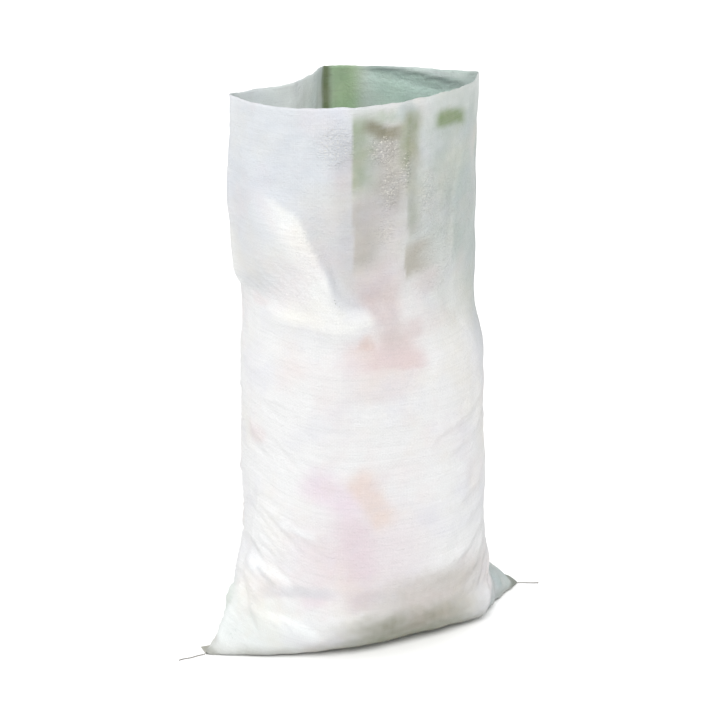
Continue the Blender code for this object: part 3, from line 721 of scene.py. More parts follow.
def cloth_links(shape, spans, lengths):
    """All the cloth's links, as sets of first points, second points, rest lengths and stiffness.

    They run across and along the tapes over one, two and four cells, and on the slant. Each
    kind is split in two, so that no point is twice in one set and all are pulled at once.
    """
    rows, columns = shape
    numbers = np.arange(rows * columns).reshape(shape)
    sets = []
    for step, stiffness in ((1, 0.95), (2, 0.25), (4, 0.16)):
        ahead = np.roll(numbers, -step, axis=1)
        width = sum(np.roll(spans, -index, axis=1) for index in range(step))
        for turn in (0, 1):
            chosen = (np.arange(columns) // step) % 2 == turn
            sets.append((numbers[1:, chosen].ravel(), ahead[1:, chosen].ravel(), width[1:, chosen].ravel(), stiffness))
        tall = sum(lengths[index:rows - step + index] for index in range(step))
        for turn in (0, 1):
            chosen = (np.arange(rows - step) // step) % 2 == turn
            sets.append((numbers[:-step][chosen].ravel(), numbers[step:][chosen].ravel(), tall[chosen].ravel(),
                         stiffness))
    slant = np.sqrt(spans[:-1] ** 2 + lengths ** 2)
    for ahead in (np.roll(numbers, -1, axis=1), np.roll(numbers, 1, axis=1)):
        for turn in (0, 1):
            chosen = np.arange(rows - 1) % 2 == turn
            sets.append((numbers[:-1][chosen].ravel(), ahead[1:][chosen].ravel(), slant[chosen].ravel(), 0.15))
    return sets


def hold_clear(cloth, form, normals, least, most):
    """Hold the cloth between its least and most distance from its form, above the ground and hem."""
    out = ((cloth - form) * normals).sum(axis=2)
    cloth = cloth + normals * (np.clip(out, least, most) - out)[:, :, None]
    over_hem = (form[:, :, 1] > -0.004) & (form[:, :, 1] < 0.025)
    cloth[:, :, 2] = np.maximum(cloth[:, :, 2], np.where(over_hem, HEM_TOP, GROUND_TOUCH))
    side = np.where(np.arange(form.shape[1]) <= PANEL_CELLS, -1.0, 1.0)[None, :]
    pinched = (np.abs(form[:, :, 0]) > 0.215) & (form[:, :, 2] < 0.2) & (cloth[:, :, 1] * side < 0.0009)
    cloth[:, :, 1] = np.where(pinched, side * 0.0009, cloth[:, :, 1])
    return cloth


def settle(form, normals, bumps, least, rounds):
    """Let the cloth settle over the rubble near its real length, and return its points.

    In each round every link pulls or pushes its two points towards its rest length. Then
    the cloth is drawn a little back to its form, more so where it is empty, and held clear
    of the rubble and the ground.
    """
    rows, columns = form.shape[:2]
    spans = np.linalg.norm(np.roll(form, -1, axis=1) - form, axis=2)
    rises = np.linalg.norm(np.diff(form, axis=0), axis=2)
    middle = (form[1:, :, 2] + form[:-1, :, 2]) / 2
    low_share = (1.0 - ease((middle - 0.42) / 0.10)) * (1.0 + 1.5 * (1.0 - ease(middle / 0.20)))
    spare = np.clip(CLOTH_LENGTH - rises.sum(axis=0), 0.0, None) * SPARE_SHOWN
    lengths = rises * (1.0 + spare[None, :] * low_share / np.maximum((rises * low_share).sum(axis=0), 1e-6)[None, :])
    sets = cloth_links((rows, columns), spans, lengths)
    filled = 1.0 - ease((form[:, :, 2] - FILL_TOP - 0.02) / 0.06)
    pull = 0.006 + 0.040 * (1.0 - filled)
    pull[-1] = 1.0
    start = form + normals * (bumps * filled)[:, :, None]
    cloth = start.reshape(-1, 3).copy()
    seam = form[0].copy()
    seam[:, 2] = HEM_TOP
    for round_number in range(rounds):
        for first, second, rest, stiffness in sets:
            gap = cloth[second] - cloth[first]
            length = np.sqrt((gap * gap).sum(axis=1))
            move = gap * (0.5 * stiffness * (1.0 - rest / np.maximum(length, 1e-9)))[:, None]
            cloth[first] += move
            cloth[second] -= move
        shaped = cloth.reshape(rows, columns, 3)
        shaped = hold_clear(shaped + (start - shaped) * pull[:, :, None], form, normals, least, 0.014)
        shaped[0] = seam
        cloth = shaped.reshape(-1, 3)
    return cloth.reshape(rows, columns, 3)


def off_line(place, line, left_reach, right_reach):
    """Each place's distance from a line, over the reach on its side, and its share of the way along it."""
    line = even_points(curve_through(np.array(line) * (FLAT_WIDTH, 1.0)), 40)
    widest = max(left_reach, right_reach)
    near = np.all((place > line.min(axis=0) - widest) & (place < line.max(axis=0) + widest), axis=2)
    spots = place[near]
    nearest = np.full(len(spots), 1e9)
    side = np.zeros(len(spots))
    share = np.zeros(len(spots))
    for index, (start, end) in enumerate(zip(line, line[1:])):
        way = end - start
        along = np.clip((spots - start) @ way / (way @ way), 0.0, 1.0)
        off = spots - start - along[:, None] * way
        distance = np.hypot(off[:, 0], off[:, 1])
        closer = distance < nearest
        nearest = np.where(closer, distance, nearest)
        side = np.where(closer, way[0] * off[:, 1] - way[1] * off[:, 0], side)
        share = np.where(closer, (index + along) / (len(line) - 1), share)
    distances = np.ones(place.shape[:2])
    shares = np.zeros(place.shape[:2])
    distances[near] = np.minimum(nearest / np.where(side > 0, left_reach, right_reach), 1.0)
    shares[near] = share
    return distances, shares


def fold_height(place, line, rise, left_reach, right_reach):
    """Height of one fold, with a sharp crest along its line.

    height = rise * (1 - distance / reach)^1.3, and it fades out over the line's ends.
    """
    distance, share = off_line(place, line, left_reach, right_reach)
    return rise * (1.0 - distance) ** 1.3 * ease(4.0 * np.minimum(share, 1.0 - share))


def small_creases(place, seed):
    """Short low creases at odd angles, most of them in the empty part: a tent across each line."""
    dice = np.random.default_rng(seed)
    height = np.zeros(place.shape[:2])
    for low, high, count, rise in ((0.50, 0.86, 130, 0.0007), (0.04, 0.50, 110, 0.0004)):
        for index in range(count):
            middle = dice.uniform((0.0, low), (2 * FLAT_WIDTH, high))
            half_length = dice.uniform(0.012, 0.050)
            angle = dice.uniform(0.0, math.pi)
            sideways = (place[:, :, 0] - middle[0] + FLAT_WIDTH) % (2 * FLAT_WIDTH) - FLAT_WIDTH
            upward = place[:, :, 1] - middle[1]
            run = sideways * math.cos(angle) + upward * math.sin(angle)
            off = upward * math.cos(angle) - sideways * math.sin(angle)
            tent = np.clip(1.0 - np.abs(off) / 0.010, 0.0, 1.0) * np.clip(1.0 - (run / half_length) ** 2, 0.0, 1.0)
            height += dice.normal(0.0, rise) * tent
    return height


def patched(place, base, patches, strips, unevenness):
    """Colours over the cloth: the base colour with soft uneven patches and strips laid over it in turn.

    Each patch weighs strength * ease(1.3 - r), where r is the distance from its middle in its
    half sizes, measured so that the patch is a rounded block. Each strip weighs
    strength * ease(1.25 (1 - r)), where r is the distance from its line over the reach. The
    edges and weights wander by the unevenness.
    """
    wandered = place.copy()
    wandered[:, :, 0] += 0.0030 * unevenness * swell(place, 12, 0.015, 0.08, 31)
    wandered[:, :, 1] += 0.0035 * unevenness * swell(place, 12, 0.015, 0.08, 32)
    uneven = 1.0 + 0.10 * unevenness * swell(place, 16, 0.012, 0.06, 33)
    colours = np.zeros((*place.shape[:2], 3)) + np.array(base)
    for across, up, half_width, half_height, colour, strength in patches:
        sideways = (wandered[:, :, 0] / FLAT_WIDTH - across + 1.0) % 2.0 - 1.0
        upward = (wandered[:, :, 1] - up) / half_height
        distance = (np.abs(sideways / half_width) ** 3 + np.abs(upward) ** 3) ** (1 / 3)
        weight = np.minimum(strength * ease(1.3 - distance) * uneven, 1.0)
        colours += (np.array(colour) - colours) * weight[:, :, None]
    wandered = place + (wandered - place) * 0.4
    for line, left_reach, right_reach, colour, strength in strips:
        distance, share = off_line(wandered, line, left_reach, right_reach)
        weight = strength * ease(1.25 * (1.0 - distance)) * ease(4.0 * np.minimum(share, 1.0 - share))
        weight = np.minimum(weight * uneven, 1.0)
        colours += (np.array(colour) - colours) * weight[:, :, None]
    return colours


def crinkle_amount(place, patches):
    """How crumpled the cloth is, from 0.25 all over to 1 in the crinkled patches."""
    share = place[:, :, 0] / FLAT_WIDTH
    amount = np.full(share.shape, 0.25)
    for across, up, half_width, half_height, strength in patches:
        sideways = (share - across + 1.0) % 2.0 - 1.0
        distance = np.hypot(sideways / half_width, (place[:, :, 1] - up) / half_height)
        amount = np.maximum(amount, strength * ease(1.4 - distance))
    return amount


def weave_group():
    """Plain weave of flat tapes on the cloth's own metres.

    The two families of tapes cross over and under in turn. A tape is highest at its
    middle and where it lies on top. The group gives the height, a tone that differs from
    tape to tape, and the thin gaps between tapes.
    """
    group, entry, leave = start_group("tape_weave",
                                      [("Place", "NodeSocketVector", None), ("Tape", "NodeSocketFloat", 0.0028)],
                                      [("Height", "NodeSocketFloat"), ("Tone", "NodeSocketFloat"),
                                       ("Gap", "NodeSocketFloat")])
    split = node(group, "ShaderNodeSeparateXYZ", (-750, 0))
    group.links.new(entry.outputs["Place"], split.inputs[0])
    across = math_node(group, "DIVIDE", split.outputs[0], entry.outputs["Tape"], (-600, 150))
    along = math_node(group, "DIVIDE", split.outputs[1], entry.outputs["Tape"], (-600, -150))
    column = math_node(group, "FLOOR", across, None, (-450, 250))
    row = math_node(group, "FLOOR", along, None, (-450, -250))
    total = math_node(group, "ADD", column, row, (-300, 0))
    turn = math_node(group, "MODULO", total, 2.0, (-150, 0))
    on_top = math_node(group, "ABSOLUTE", turn, None, (0, 0))
    side_across = math_node(group, "PINGPONG", across, 0.5, (-450, 100))
    side_along = math_node(group, "PINGPONG", along, 0.5, (-450, -100))
    warp = math_node(group, "MULTIPLY", side_across, on_top, (150, 100))
    off_top = math_node(group, "SUBTRACT", 1.0, on_top, (150, -50))
    weft = math_node(group, "MULTIPLY", side_along, off_top, (300, -100))
    height = math_node(group, "ADD", warp, weft, (450, 0))
    flatter = math_node(group, "POWER", height, 0.35, (600, 0))
    group.links.new(flatter, leave.inputs["Height"])
    least = math_node(group, "MINIMUM", side_across, side_along, (150, -300))
    gap = ramp(group, least, 0.10, 0.0, (300, -300))
    group.links.new(gap, leave.inputs["Gap"])
    row_tone = node(group, "ShaderNodeTexWhiteNoise", (-150, -450), noise_dimensions="1D")
    group.links.new(row, row_tone.inputs["W"])
    shifted = math_node(group, "ADD", column, 500.5, (-300, -600))
    column_tone = node(group, "ShaderNodeTexWhiteNoise", (-150, -600), noise_dimensions="1D")
    group.links.new(shifted, column_tone.inputs["W"])
    weft_tone = math_node(group, "MULTIPLY", row_tone.outputs[0], off_top, (50, -450))
    warp_tone = math_node(group, "MULTIPLY", column_tone.outputs[0], on_top, (50, -600))
    quiet = math_node(group, "MULTIPLY", warp_tone, 0.3, (150, -600))
    tone = math_node(group, "ADD", weft_tone, quiet, (300, -500))
    group.links.new(tone, leave.inputs["Tone"])
    return group


def cloth_material(name, mottling, see_through):
    """Plastic tape cloth: its painted patches, weave and crinkles, painted glints, a soft gloss, some light through
    it.
    """
    material, tree, shader = start_material(name)
    coordinates = node(tree, "ShaderNodeTexCoord", (-1700, 0))
    place = coordinates.outputs["Object"]
    weave = node(tree, "ShaderNodeGroup", (-1400, 200))
    weave.node_tree = WEAVE
    tree.links.new(coordinates.outputs["UV"], weave.inputs["Place"])
    weave.inputs["Tape"].default_value = 0.0028
    patches = node(tree, "ShaderNodeAttribute", (-1400, 500), attribute_name="patches")
    toned = math_node(tree, "MULTIPLY", weave.outputs["Tone"], 0.10, (-1200, 250))
    last = mix_colour(tree, toned, patches.outputs["Color"], (0.45, 0.47, 0.46), (-1000, 400))
    streaked = node(tree, "ShaderNodeMapping", (-1600, 700))
    streaked.inputs["Scale"].default_value = (16.0, 300.0, 1.0)
    tree.links.new(coordinates.outputs["UV"], streaked.inputs["Vector"])
    streaks = ramp(tree, noise(tree, streaked.outputs[0], 1.0, 3.0, (-1400, 700)), 0.48, 0.75, (-1200, 700))
    faint_streaks = math_node(tree, "MULTIPLY", streaks, 0.12, (-1000, 700))
    last = mix_colour(tree, faint_streaks, last, (0.46, 0.48, 0.47), (-900, 500))
    gaps = math_node(tree, "MULTIPLY", weave.outputs["Gap"], 0.12, (-1000, 150))
    last = mix_colour(tree, gaps, last, (0.40, 0.42, 0.40), (-800, 350))
    tints = (((0.78, 0.60, 0.60), 11.0), ((0.80, 0.72, 0.54), 9.0), ((0.62, 0.62, 0.76), 13.0))
    for index, (tint, scale) in enumerate(tints):
        moved = node(tree, "ShaderNodeMapping", (-1400, -200 - 250 * index))
        moved.inputs["Location"].default_value = (3.1 * index + 0.3, 1.7 * index, 0.4)
        tree.links.new(place, moved.inputs["Vector"])
        cloudy = noise(tree, moved.outputs[0], scale, 4.0, (-1200, -200 - 250 * index), 0.6)
        spots = ramp(tree, cloudy, 0.50, 0.72, (-1000, -200 - 250 * index))
        faint = math_node(tree, "MULTIPLY", spots, mottling, (-800, -200 - 250 * index))
        last = mix_colour(tree, faint, last, tint, (-600, 300 - 100 * index))
    # Darker towards the ground: dust, and painted contact shadow where the sack meets the floor.
    low_mask = node(tree, "ShaderNodeGroup", (-800, -1000))
    low_mask.node_tree = NEAR_GROUND
    tree.links.new(place, low_mask.inputs["Position"])
    low_mask.inputs["Reach"].default_value = 0.035
    darkened_low = math_node(tree, "MULTIPLY", low_mask.outputs["Mask"], 0.55, (-600, -1000))
    last = mix_colour(tree, darkened_low, last, (0.27, 0.27, 0.20), (-300, 100))
    gloss = node(tree, "ShaderNodeMapRange", (-300, -200))
    tree.links.new(noise(tree, place, 26.0, 4.0, (-500, -200)), gloss.inputs[0])
    gloss.inputs[3].default_value = 0.28
    gloss.inputs[4].default_value = 0.50
    tree.links.new(gloss.outputs[0], shader.inputs["Roughness"])
    crinkle = node(tree, "ShaderNodeAttribute", (-1400, -1250), attribute_name="crinkle")
    lines = []
    for index, stretch in enumerate(((45.0, 420.0, 1.0), (420.0, 110.0, 1.0), (70.0, 85.0, 1.0))):
        drawn = node(tree, "ShaderNodeMapping", (-1600, -1450 - 250 * index))
        drawn.inputs["Scale"].default_value = stretch
        tree.links.new(coordinates.outputs["UV"], drawn.inputs["Vector"])
        wavy = noise(tree, drawn.outputs[0], 1.0, 2.0, (-1400, -1450 - 250 * index), 0.6)
        off_middle = math_node(tree, "SUBTRACT", wavy, 0.5, (-1200, -1450 - 250 * index))
        lines.append(math_node(tree, "ABSOLUTE", off_middle, None, (-1050, -1450 - 250 * index)))
    crossed = math_node(tree, "ADD", lines[0], math_node(tree, "MULTIPLY", lines[1], 0.45, (-900, -1700)), (-800, -1500))
    slow = math_node(tree, "MULTIPLY", lines[2], 2.2, (-900, -1900))
    crumpled = math_node(tree, "ADD", crossed, slow, (-700, -1600))
    folded = math_node(tree, "MULTIPLY", crumpled, crinkle.outputs["Fac"], (-550, -1400))
    raised = math_node(tree, "MULTIPLY", weave.outputs["Height"], 0.030, (-700, -1200))
    height = math_node(tree, "ADD", folded, raised, (-450, -1300))
    # Painted glints: pale cream flecks in the base colour over the crinkled parts, standing for small sparkling
    # highlights.
    sparkled = node(tree, "ShaderNodeMapping", (-1600, -2200))
    sparkled.inputs["Scale"].default_value = (260.0, 430.0, 1.0)
    tree.links.new(coordinates.outputs["UV"], sparkled.inputs["Vector"])
    flecks = ramp(tree, noise(tree, sparkled.outputs[0], 1.0, 1.0, (-1400, -2200)), 0.58, 0.68, (-1200, -2200))
    crumpled_part = ramp(tree, crinkle.outputs["Fac"], 0.45, 0.95, (-1200, -2400))
    shown = math_node(tree, "MULTIPLY", math_node(tree, "MULTIPLY", flecks, crumpled_part, (-1000, -2200)), 0.85,
                      (-800, -2200))
    glinted = mix_colour(tree, shown, last, (0.86, 0.83, 0.76), (-100, 250))
    tree.links.new(glinted, shader.inputs["Base Color"])
    bump = add_bump(tree, shader, height, 0.8, 0.0045, (-300, -600))
    glow = node(tree, "ShaderNodeBsdfTranslucent", (0, -350))
    tree.links.new(last, glow.inputs["Color"])
    tree.links.new(bump.outputs[0], glow.inputs["Normal"])
    mixed = node(tree, "ShaderNodeMixShader", (350, 0))
    mixed.inputs[0].default_value = see_through
    tree.links.new(shader.outputs[0], mixed.inputs[1])
    tree.links.new(glow.outputs[0], mixed.inputs[2])
    tree.links.new(mixed.outputs[0], tree.nodes["Material Output"].inputs["Surface"])
    return material


def cloth_shell(outer, inner):
    """Faces of the closed cloth: the outer face, the inner one, the rim, and the seam between panels."""
    rows, columns = outer.shape[:2]
    numbers = np.arange(rows * columns).reshape(rows, columns)
    ahead = np.roll(numbers, -1, axis=1)
    outside = np.stack([numbers[:-1], ahead[:-1], ahead[1:], numbers[1:]], axis=-1).reshape(-1, 4)
    inside = outside[:, ::-1] + rows * columns
    rim = np.stack([numbers[-1], ahead[-1], ahead[-1] + rows * columns, numbers[-1] + rows * columns], axis=-1)
    foot = np.stack([ahead[0], numbers[0], numbers[0] + rows * columns, ahead[0] + rows * columns], axis=-1)
    points = np.concatenate([outer.reshape(-1, 3), inner.reshape(-1, 3)])
    return points, np.concatenate([outside, inside, rim, foot])


def add_attribute(mesh, name, kind, values):
    """Store a value for each point of a mesh."""
    made = mesh.attributes.new(name, kind, "POINT")
    if kind == "FLOAT_COLOR":
        values = np.column_stack([values, np.ones(len(values))])
        made.data.foreach_set("color", values.ravel())
    else:
        made.data.foreach_set("value", values.ravel())


WEAVE = weave_group()
CLOTH_OUTSIDE = cloth_material("woven_plastic_outside", 0.20, 0.30)
CLOTH_INSIDE = cloth_material("woven_plastic_inside", 0.08, 0.58)

form = standing_form()
row_count, column_count = form.shape[:2]
form_normals = grid_normals(form)
flat_place = np.zeros((row_count, column_count, 2))
flat_place[:, :, 0] = (np.arange(column_count) * FLAT_WIDTH / PANEL_CELLS)[None, :]
flat_place[:, :, 1] = (np.arange(row_count) * CLOTH_LENGTH / LENGTH_CELLS)[:, None]
stand_place = flat_place.copy()
stand_place[:, :, 1] = form[:, :, 2]

ear_share = ease((np.abs(form[:, :, 0]) - 0.200) / 0.02) * (1.0 - ease((form[:, :, 2] - 0.17) / 0.04))
filled_share = 1.0 - ease((form[:, :, 2] - FILL_TOP - 0.02) / 0.06)
bump_heights = 0.0012 + rubble_bumps(flat_place, 7)
least_out = -CORE_MARGIN - 0.030 * np.maximum(ear_share, 1.0 - filled_share)
cloth = settle(form, form_normals, bump_heights * (1.0 - ear_share), least_out, RELAX_ROUNDS)

fold_total = sum(fold_height(stand_place, *fold) for fold in FOLDS) + small_creases(stand_place, 11)
wrapped_place = stand_place - (2 * FLAT_WIDTH, 0.0)
fold_total += sum(fold_height(wrapped_place, *fold) for fold in FOLDS if min(point[0] for point in fold[0]) < 0)
slack_share = ease((form[:, :, 2] - 0.50) / 0.12)
fold_total += 0.0016 * slack_share * swell(stand_place, 14, 0.07, 0.22, 3)
fold_total += 0.0006 * swell(stand_place, 14, 0.025, 0.06, 5)
fold_total *= ease(np.arange(row_count) / 8.0)[:, None]
cloth = cloth + grid_normals(cloth) * fold_total[:, :, None]
cloth = hold_clear(cloth, form, form_normals, least_out, 0.018)
core_mesh = solid_copy("rubble_core")
core_tree = BVHTree.FromPolygons([vertex.co[:] for vertex in core_mesh.vertices],
                                 [face.vertices[:] for face in core_mesh.polygons])
cloth = hold_off(cloth, core_tree, CLOTH_THICKNESS + CORE_CLEARANCE)
cloth[-1, :, 2] += 0.0006 * swell(flat_place, 10, 0.012, 0.05, 9)[-1] - 0.0006
cloth[:, :, 2] = np.minimum(cloth[:, :, 2], STAND_HEIGHT)

inner_cloth = cloth - grid_normals(cloth) * CLOTH_THICKNESS
inner_cloth[0] = cloth[0] + np.array([0.0, 0.0, CLOTH_THICKNESS])
cloth_points, cloth_faces = cloth_shell(cloth, inner_cloth)
sack = add_piece("woven_sack_cloth", cloth_points, cloth_faces.tolist(), CLOTH_OUTSIDE)
sack.data.materials.append(CLOTH_INSIDE)
outside_count = (row_count - 1) * column_count
material_numbers = np.zeros(len(cloth_faces), dtype=np.int32)
material_numbers[outside_count:2 * outside_count] = 1
sack.data.polygons.foreach_set("material_index", material_numbers)
outside_colours = patched(stand_place, CLOTH_WHITE, OUTSIDE_PATCHES, OUTSIDE_STRIPS, 1.0).reshape(-1, 3)
inside_colours = patched(stand_place, CLOTH_INNER, INSIDE_PATCHES, INSIDE_STRIPS, 0.2).reshape(-1, 3)
add_attribute(sack.data, "patches", "FLOAT_COLOR", np.vstack([outside_colours, inside_colours]))
add_attribute(sack.data, "crinkle", "FLOAT", np.tile(crinkle_amount(stand_place, CRINKLED).ravel(), 2))

corner_points = np.zeros(len(sack.data.loops), dtype=np.int32)
sack.data.loops.foreach_get("vertex_index", corner_points)
uv = flat_place.reshape(-1, 2)[corner_points % (row_count * column_count)].reshape(-1, 4, 2)
over_edge = (uv[:, :, 0].max(axis=1) - uv[:, :, 0].min(axis=1)) > FLAT_WIDTH
uv[:, :, 0] += np.where(over_edge[:, None] & (uv[:, :, 0] < FLAT_WIDTH / 2), 2 * FLAT_WIDTH, 0.0)
uv_map = sack.data.uv_layers.new(name="cloth_metres")
uv_map.data.foreach_set("uv", uv.ravel())
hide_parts("woven_sack")


# Bottom hem: the tube's end, folded over once as a flat strip under the seam and held by
# the chain stitches.
HEM_WIDTH = 0.022
HEM_HALF_LENGTH = 0.279
HEM_LOW = 0.0013
HEM_HIGH = 0.0019
HEM_CELLS = 140

hem_across = np.linspace(-HEM_HALF_LENGTH, HEM_HALF_LENGTH, HEM_CELLS + 1)
hem_edge = HEM_WIDTH + 0.0008 * np.sin(61.0 * hem_across) + 0.0004 * np.sin(173.0 * hem_across)
hem_ring = [(-0.0010, HEM_LOW), (0.25, HEM_LOW), (0.45, HEM_LOW), (1.0, HEM_LOW), (1.0, HEM_HIGH), (-0.0010, HEM_HIGH)]
hem_points = []
for x, edge in zip(hem_across, hem_edge):
    hem_points += [(x, side if side < 0 else side * edge, height) for side, height in hem_ring]
ring_size = len(hem_ring)
hem_faces = [list(range(ring_size)), list(range(HEM_CELLS * ring_size, (HEM_CELLS + 1) * ring_size))[::-1]]
for cell in range(HEM_CELLS):
    for corner in range(ring_size):
        following = (corner + 1) % ring_size
        base = cell * ring_size
        hem_faces.append([base + corner, base + ring_size + corner, base + ring_size + following, base + following])
hem = add_piece("bottom_hem", hem_points, hem_faces, CLOTH_OUTSIDE, smooth=False)
hem_uv = hem.data.uv_layers.new(name="cloth_metres")
hem_corners = np.zeros(len(hem.data.loops), dtype=np.int32)
hem.data.loops.foreach_get("vertex_index", hem_corners)
hem_uv.data.foreach_set("uv", np.array(hem_points)[hem_corners][:, :2].ravel())
add_attribute(hem.data, "patches", "FLOAT_COLOR", np.tile(np.array((0.66, 0.66, 0.64)), (len(hem_points), 1)))
add_attribute(hem.data, "crinkle", "FLOAT", np.full(len(hem_points), 0.2))
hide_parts("woven_sack")


# Broken pieces: lumps of brick, concrete and plaster lying loose on the fill, copies of the
# part's blocks with rough broken faces.
LUMP_CELL = 0.0021
LUMP_ROUGHNESS = 0.0016


def evenly_remeshed(mesh, cell):
    """The same solid drawn with even small cells."""
    holder = bpy.data.objects.new("remesh_holder", mesh)
    bpy.context.collection.objects.link(holder)
    remesh = holder.modifiers.new("remesh", "REMESH")
    remesh.mode = "VOXEL"
    remesh.voxel_size = cell
    fine = bpy.data.meshes.new_from_object(holder.evaluated_get(bpy.context.evaluated_depsgraph_get()))
    bpy.data.objects.remove(holder, do_unlink=True)
    return fine


def roughen(mesh, depth, seed):
    """Push a mesh's points in by up to a depth along their normals, by uneven noise.

    depth * (0.15 + 0.6 * coarse + 0.25 * fine), with the noises from 0 to 1.
    """
    points = np.zeros(len(mesh.vertices) * 3)
    mesh.vertices.foreach_get("co", points)
    points = points.reshape(-1, 3)
    normals = np.zeros(len(mesh.vertices) * 3)
    mesh.vertex_normals.foreach_get("vector", normals)
    normals = normals.reshape(-1, 3)
    coarse = lattice_noise(points * 90.0 + seed * 7.3, seed)
    fine = lattice_noise(points * 260.0 + seed * 3.1, seed + 50)
    inward = depth * (0.15 + 0.60 * coarse + 0.25 * fine)
    points -= normals * inward[:, None]
    mesh.vertices.foreach_set("co", points.ravel())
    mesh.update()


def lattice_noise(points, seed):
    """Smooth noise from 0 to 1: random values on a lattice of unit cells, blended between its corners."""
    table = np.random.default_rng(seed).random(4096)
    cell = np.floor(points).astype(np.int64)
    blend = ease(points - cell)
    total = np.zeros(len(points))
    for corner in range(8):
        step = np.array([corner & 1, corner >> 1 & 1, corner >> 2 & 1])
        weight = np.prod(np.where(step == 1, blend, 1.0 - blend), axis=1)
        key = (cell + step) @ np.array([73856093, 19349663, 83492791])
        total += weight * table[key % 4096]
    return total


def stone_material(name, low, high, speck, speck_size, speck_share, roughness):
    """Broken mineral stuff: two slow tones, harder specks of another colour, grit and pale dust on top."""
    material, tree, shader = start_material(name)
    place = node(tree, "ShaderNodeTexCoord", (-1300, 0)).outputs["Object"]
    cloudy = noise(tree, place, 34.0, 6.0, (-1100, 200), 0.65)
    body = mix_colour(tree, cloudy, low, high, (-800, 200))
    cells = node(tree, "ShaderNodeTexVoronoi", (-1100, -100))
    cells.inputs["Scale"].default_value = 1.0 / speck_size
    tree.links.new(place, cells.inputs["Vector"])
    inside = ramp(tree, cells.outputs["Distance"], speck_share, speck_share * 0.75, (-800, -100))
    pick = node(tree, "ShaderNodeSeparateColor", (-900, -300))
    tree.links.new(cells.outputs["Color"], pick.inputs[0])
    chosen = ramp(tree, pick.outputs[0], 0.45, 0.55, (-700, -300))
    specks = math_node(tree, "MULTIPLY", inside, chosen, (-550, -150))
    last = mix_colour(tree, specks, body, speck, (-400, 100))
    upward = node(tree, "ShaderNodeSeparateXYZ", (-900, -550))
    tree.links.new(node(tree, "ShaderNodeNewGeometry", (-1100, -550)).outputs["Normal"], upward.inputs[0])
    lying = ramp(tree, upward.outputs[2], 0.2, 1.0, (-700, -550))
    clumps = noise(tree, place, 75.0, 5.0, (-900, -750), 0.7)
    held = math_node(tree, "MULTIPLY", lying, ramp(tree, clumps, 0.35, 0.70, (-700, -750)), (-500, -600))
    dusty = math_node(tree, "MULTIPLY", held, 0.55, (-300, -600))
    last = mix_colour(tree, dusty, last, (0.56, 0.53, 0.48), (-150, 100))
    tree.links.new(last, shader.inputs["Base Color"])
    shader.inputs["Roughness"].default_value = roughness
    grit = noise(tree, place, 420.0, 5.0, (-500, -350), 0.7)
    rough = math_node(tree, "ADD", grit, math_node(tree, "MULTIPLY", specks, 0.5, (-400, -250)), (-250, -300))
    add_bump(tree, shader, rough, 0.7, 0.0010, (-100, -300))
    return material


STONES = {
    "brick": stone_material("broken_brick", (0.36, 0.12, 0.07), (0.55, 0.23, 0.14), (0.25, 0.09, 0.06), 0.007, 0.30,
                            0.90),
    "concrete": stone_material("broken_concrete", (0.36, 0.35, 0.33), (0.55, 0.54, 0.51), (0.25, 0.24, 0.22), 0.011,
                               0.42, 0.92),
    "plaster": stone_material("broken_plaster", (0.68, 0.64, 0.56), (0.84, 0.81, 0.74), (0.56, 0.52, 0.45), 0.005,
                              0.22, 0.88),
}
for index, name in enumerate(["brick_piece_1", "brick_piece_2", "brick_piece_3", "brick_piece_4",
                              "concrete_piece_1", "concrete_piece_2", "concrete_piece_3", "concrete_piece_4",
                              "plaster_piece_1", "plaster_piece_2"]):
    kind = name.split("_")[0]
    lump_mesh = evenly_remeshed(solid_copy(name), LUMP_CELL)
    lump_mesh.name = name + "_rough"
    roughen(lump_mesh, LUMP_ROUGHNESS, index + 1)
    lump_mesh.shade_smooth()
    lump_mesh.materials.clear()
    lump_mesh.materials.append(STONES[kind])
    lump = bpy.data.objects.new(name + "_rough", lump_mesh)
    bpy.context.collection.objects.link(lump)
    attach(lump, "root")
    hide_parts(name)


# Rubble core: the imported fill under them. What shows of it is its top, with small crumbs of
# rubble and grit lying on it.
FILL_MOUND = 0.030
CRUMB_COUNT = 1500

blocked = []
for piece in bpy.data.objects:
    if piece.name.endswith("_rough"):
        blocked.append(BVHTree.FromPolygons([vertex.co[:] for vertex in piece.data.vertices],
                                            [face.vertices[:] for face in piece.data.polygons]))
cloth_tree = BVHTree.FromPolygons(inner_cloth.reshape(-1, 3).tolist(),
                                  cloth_faces[:outside_count].tolist())


def crumb_shell(middle, radius, dice):
    """One crumb: an eight-cornered block with its corners moved unevenly and turned any way."""
    corners = np.array([(x, y, z) for x in (-1, 1) for y in (-1, 1) for z in (-1, 1)], dtype=float)
    corners *= dice.uniform(0.35, 0.75, (8, 3)) * radius * dice.uniform(0.7, 1.2, 3)
    turn = np.array(Matrix.Rotation(dice.uniform(0, 6.28), 3, Vector(dice.normal(size=3)).normalized()))
    faces = [(0, 1, 3, 2), (4, 6, 7, 5), (0, 4, 5, 1), (2, 3, 7, 6), (0, 2, 6, 4), (1, 5, 7, 3)]
    return corners @ turn.T + middle, [list(face) for face in faces]


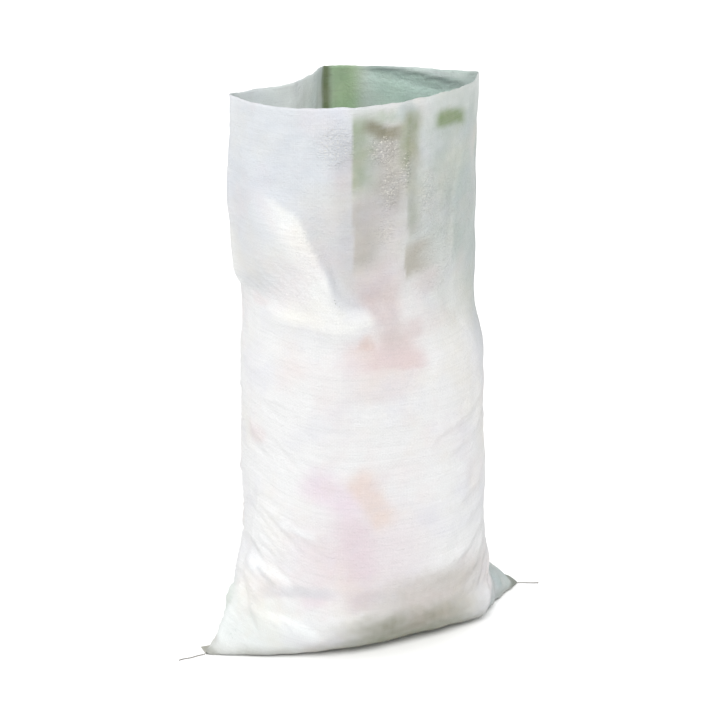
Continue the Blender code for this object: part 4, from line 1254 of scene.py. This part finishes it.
crumb_dice = np.random.default_rng(21)
crumbs = []
while len(crumbs) < CRUMB_COUNT:
    spot = crumb_dice.uniform((-0.195, -0.130), (0.195, 0.140))
    crumb_radius = 0.0028 + 0.0085 * crumb_dice.random() ** 3
    hit = core_tree.ray_cast(Vector((*spot, 0.60)), Vector((0, 0, -1)))
    if hit[0] is None or hit[0].z < FILL_TOP - FILL_MOUND - 0.02:
        crumbs.append(None)
        continue
    middle = hit[0] + Vector((0, 0, crumb_radius * 0.25))
    clear = min(tree.find_nearest(middle)[3] for tree in blocked) > crumb_radius
    clear = clear and cloth_tree.find_nearest(middle)[3] > crumb_radius + 0.0004
    crumbs.append(crumb_shell(np.array(middle), crumb_radius, crumb_dice) if clear else None)
crumbs = [crumb for crumb in crumbs if crumb is not None]
core_faces = [list(face.vertices) for face in core_mesh.polygons]
core_points = np.array([vertex.co[:] for vertex in core_mesh.vertices])
dressed_points, dressed_faces = join_shells([(core_points, core_faces)] + crumbs)
FILL_STUFF = stone_material("packed_rubble", (0.34, 0.29, 0.24), (0.56, 0.51, 0.45), (0.42, 0.18, 0.12), 0.009, 0.40,
                            0.95)
core = add_piece("rubble_core_dressed", dressed_points, dressed_faces, FILL_STUFF, smooth=False)
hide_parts("rubble_core")


# Studio: a plain pale floor, soft light from the upper left in front, and a white surround.
FLOOR_SIZE = 14.0


def floor_material():
    """Matt near-white floor paint with the faintest unevenness."""
    material, tree, shader = start_material("studio_floor")
    place = node(tree, "ShaderNodeTexCoord", (-800, 0)).outputs["Object"]
    cloudy = noise(tree, place, 3.0, 2.0, (-600, 0))
    colour = mix_colour(tree, cloudy, (0.93, 0.93, 0.93), (0.95, 0.95, 0.95), (-350, 0))
    tree.links.new(colour, shader.inputs["Base Color"])
    shader.inputs["Roughness"].default_value = 0.9
    return material


half = FLOOR_SIZE / 2
floor_mesh = bpy.data.meshes.new("studio_floor")
floor_mesh.from_pydata([(-half, -half, 0), (half, -half, 0), (half, half, 0), (-half, half, 0)], [], [(0, 1, 2, 3)])
floor_mesh.materials.append(floor_material())
floor = bpy.data.objects.new("studio_floor", floor_mesh)
bpy.context.collection.objects.link(floor)



def soft_sun(name, shine_towards, power, spread):
    """A far soft light that shines along a direction, as wide as its spread in degrees."""
    data = bpy.data.lights.new(name, "SUN")
    data.energy = power
    data.angle = math.radians(spread)
    light = bpy.data.objects.new(name, data)
    light.rotation_euler = Vector(shine_towards).to_track_quat("-Z", "Y").to_euler()
    bpy.context.collection.objects.link(light)


soft_sun("key", (0.24, 0.62, -0.82), 2.30, 26)
soft_sun("left_back", (0.80, -0.42, -0.50), 0.9, 40)

world = bpy.data.worlds.new("studio")
world.use_nodes = True
world.node_tree.nodes["Background"].inputs["Color"].default_value = (1.0, 1.0, 1.0, 1.0)
world.node_tree.nodes["Background"].inputs["Strength"].default_value = 0.75
bpy.context.scene.world = world
bpy.context.scene.view_settings.view_transform = "Standard"
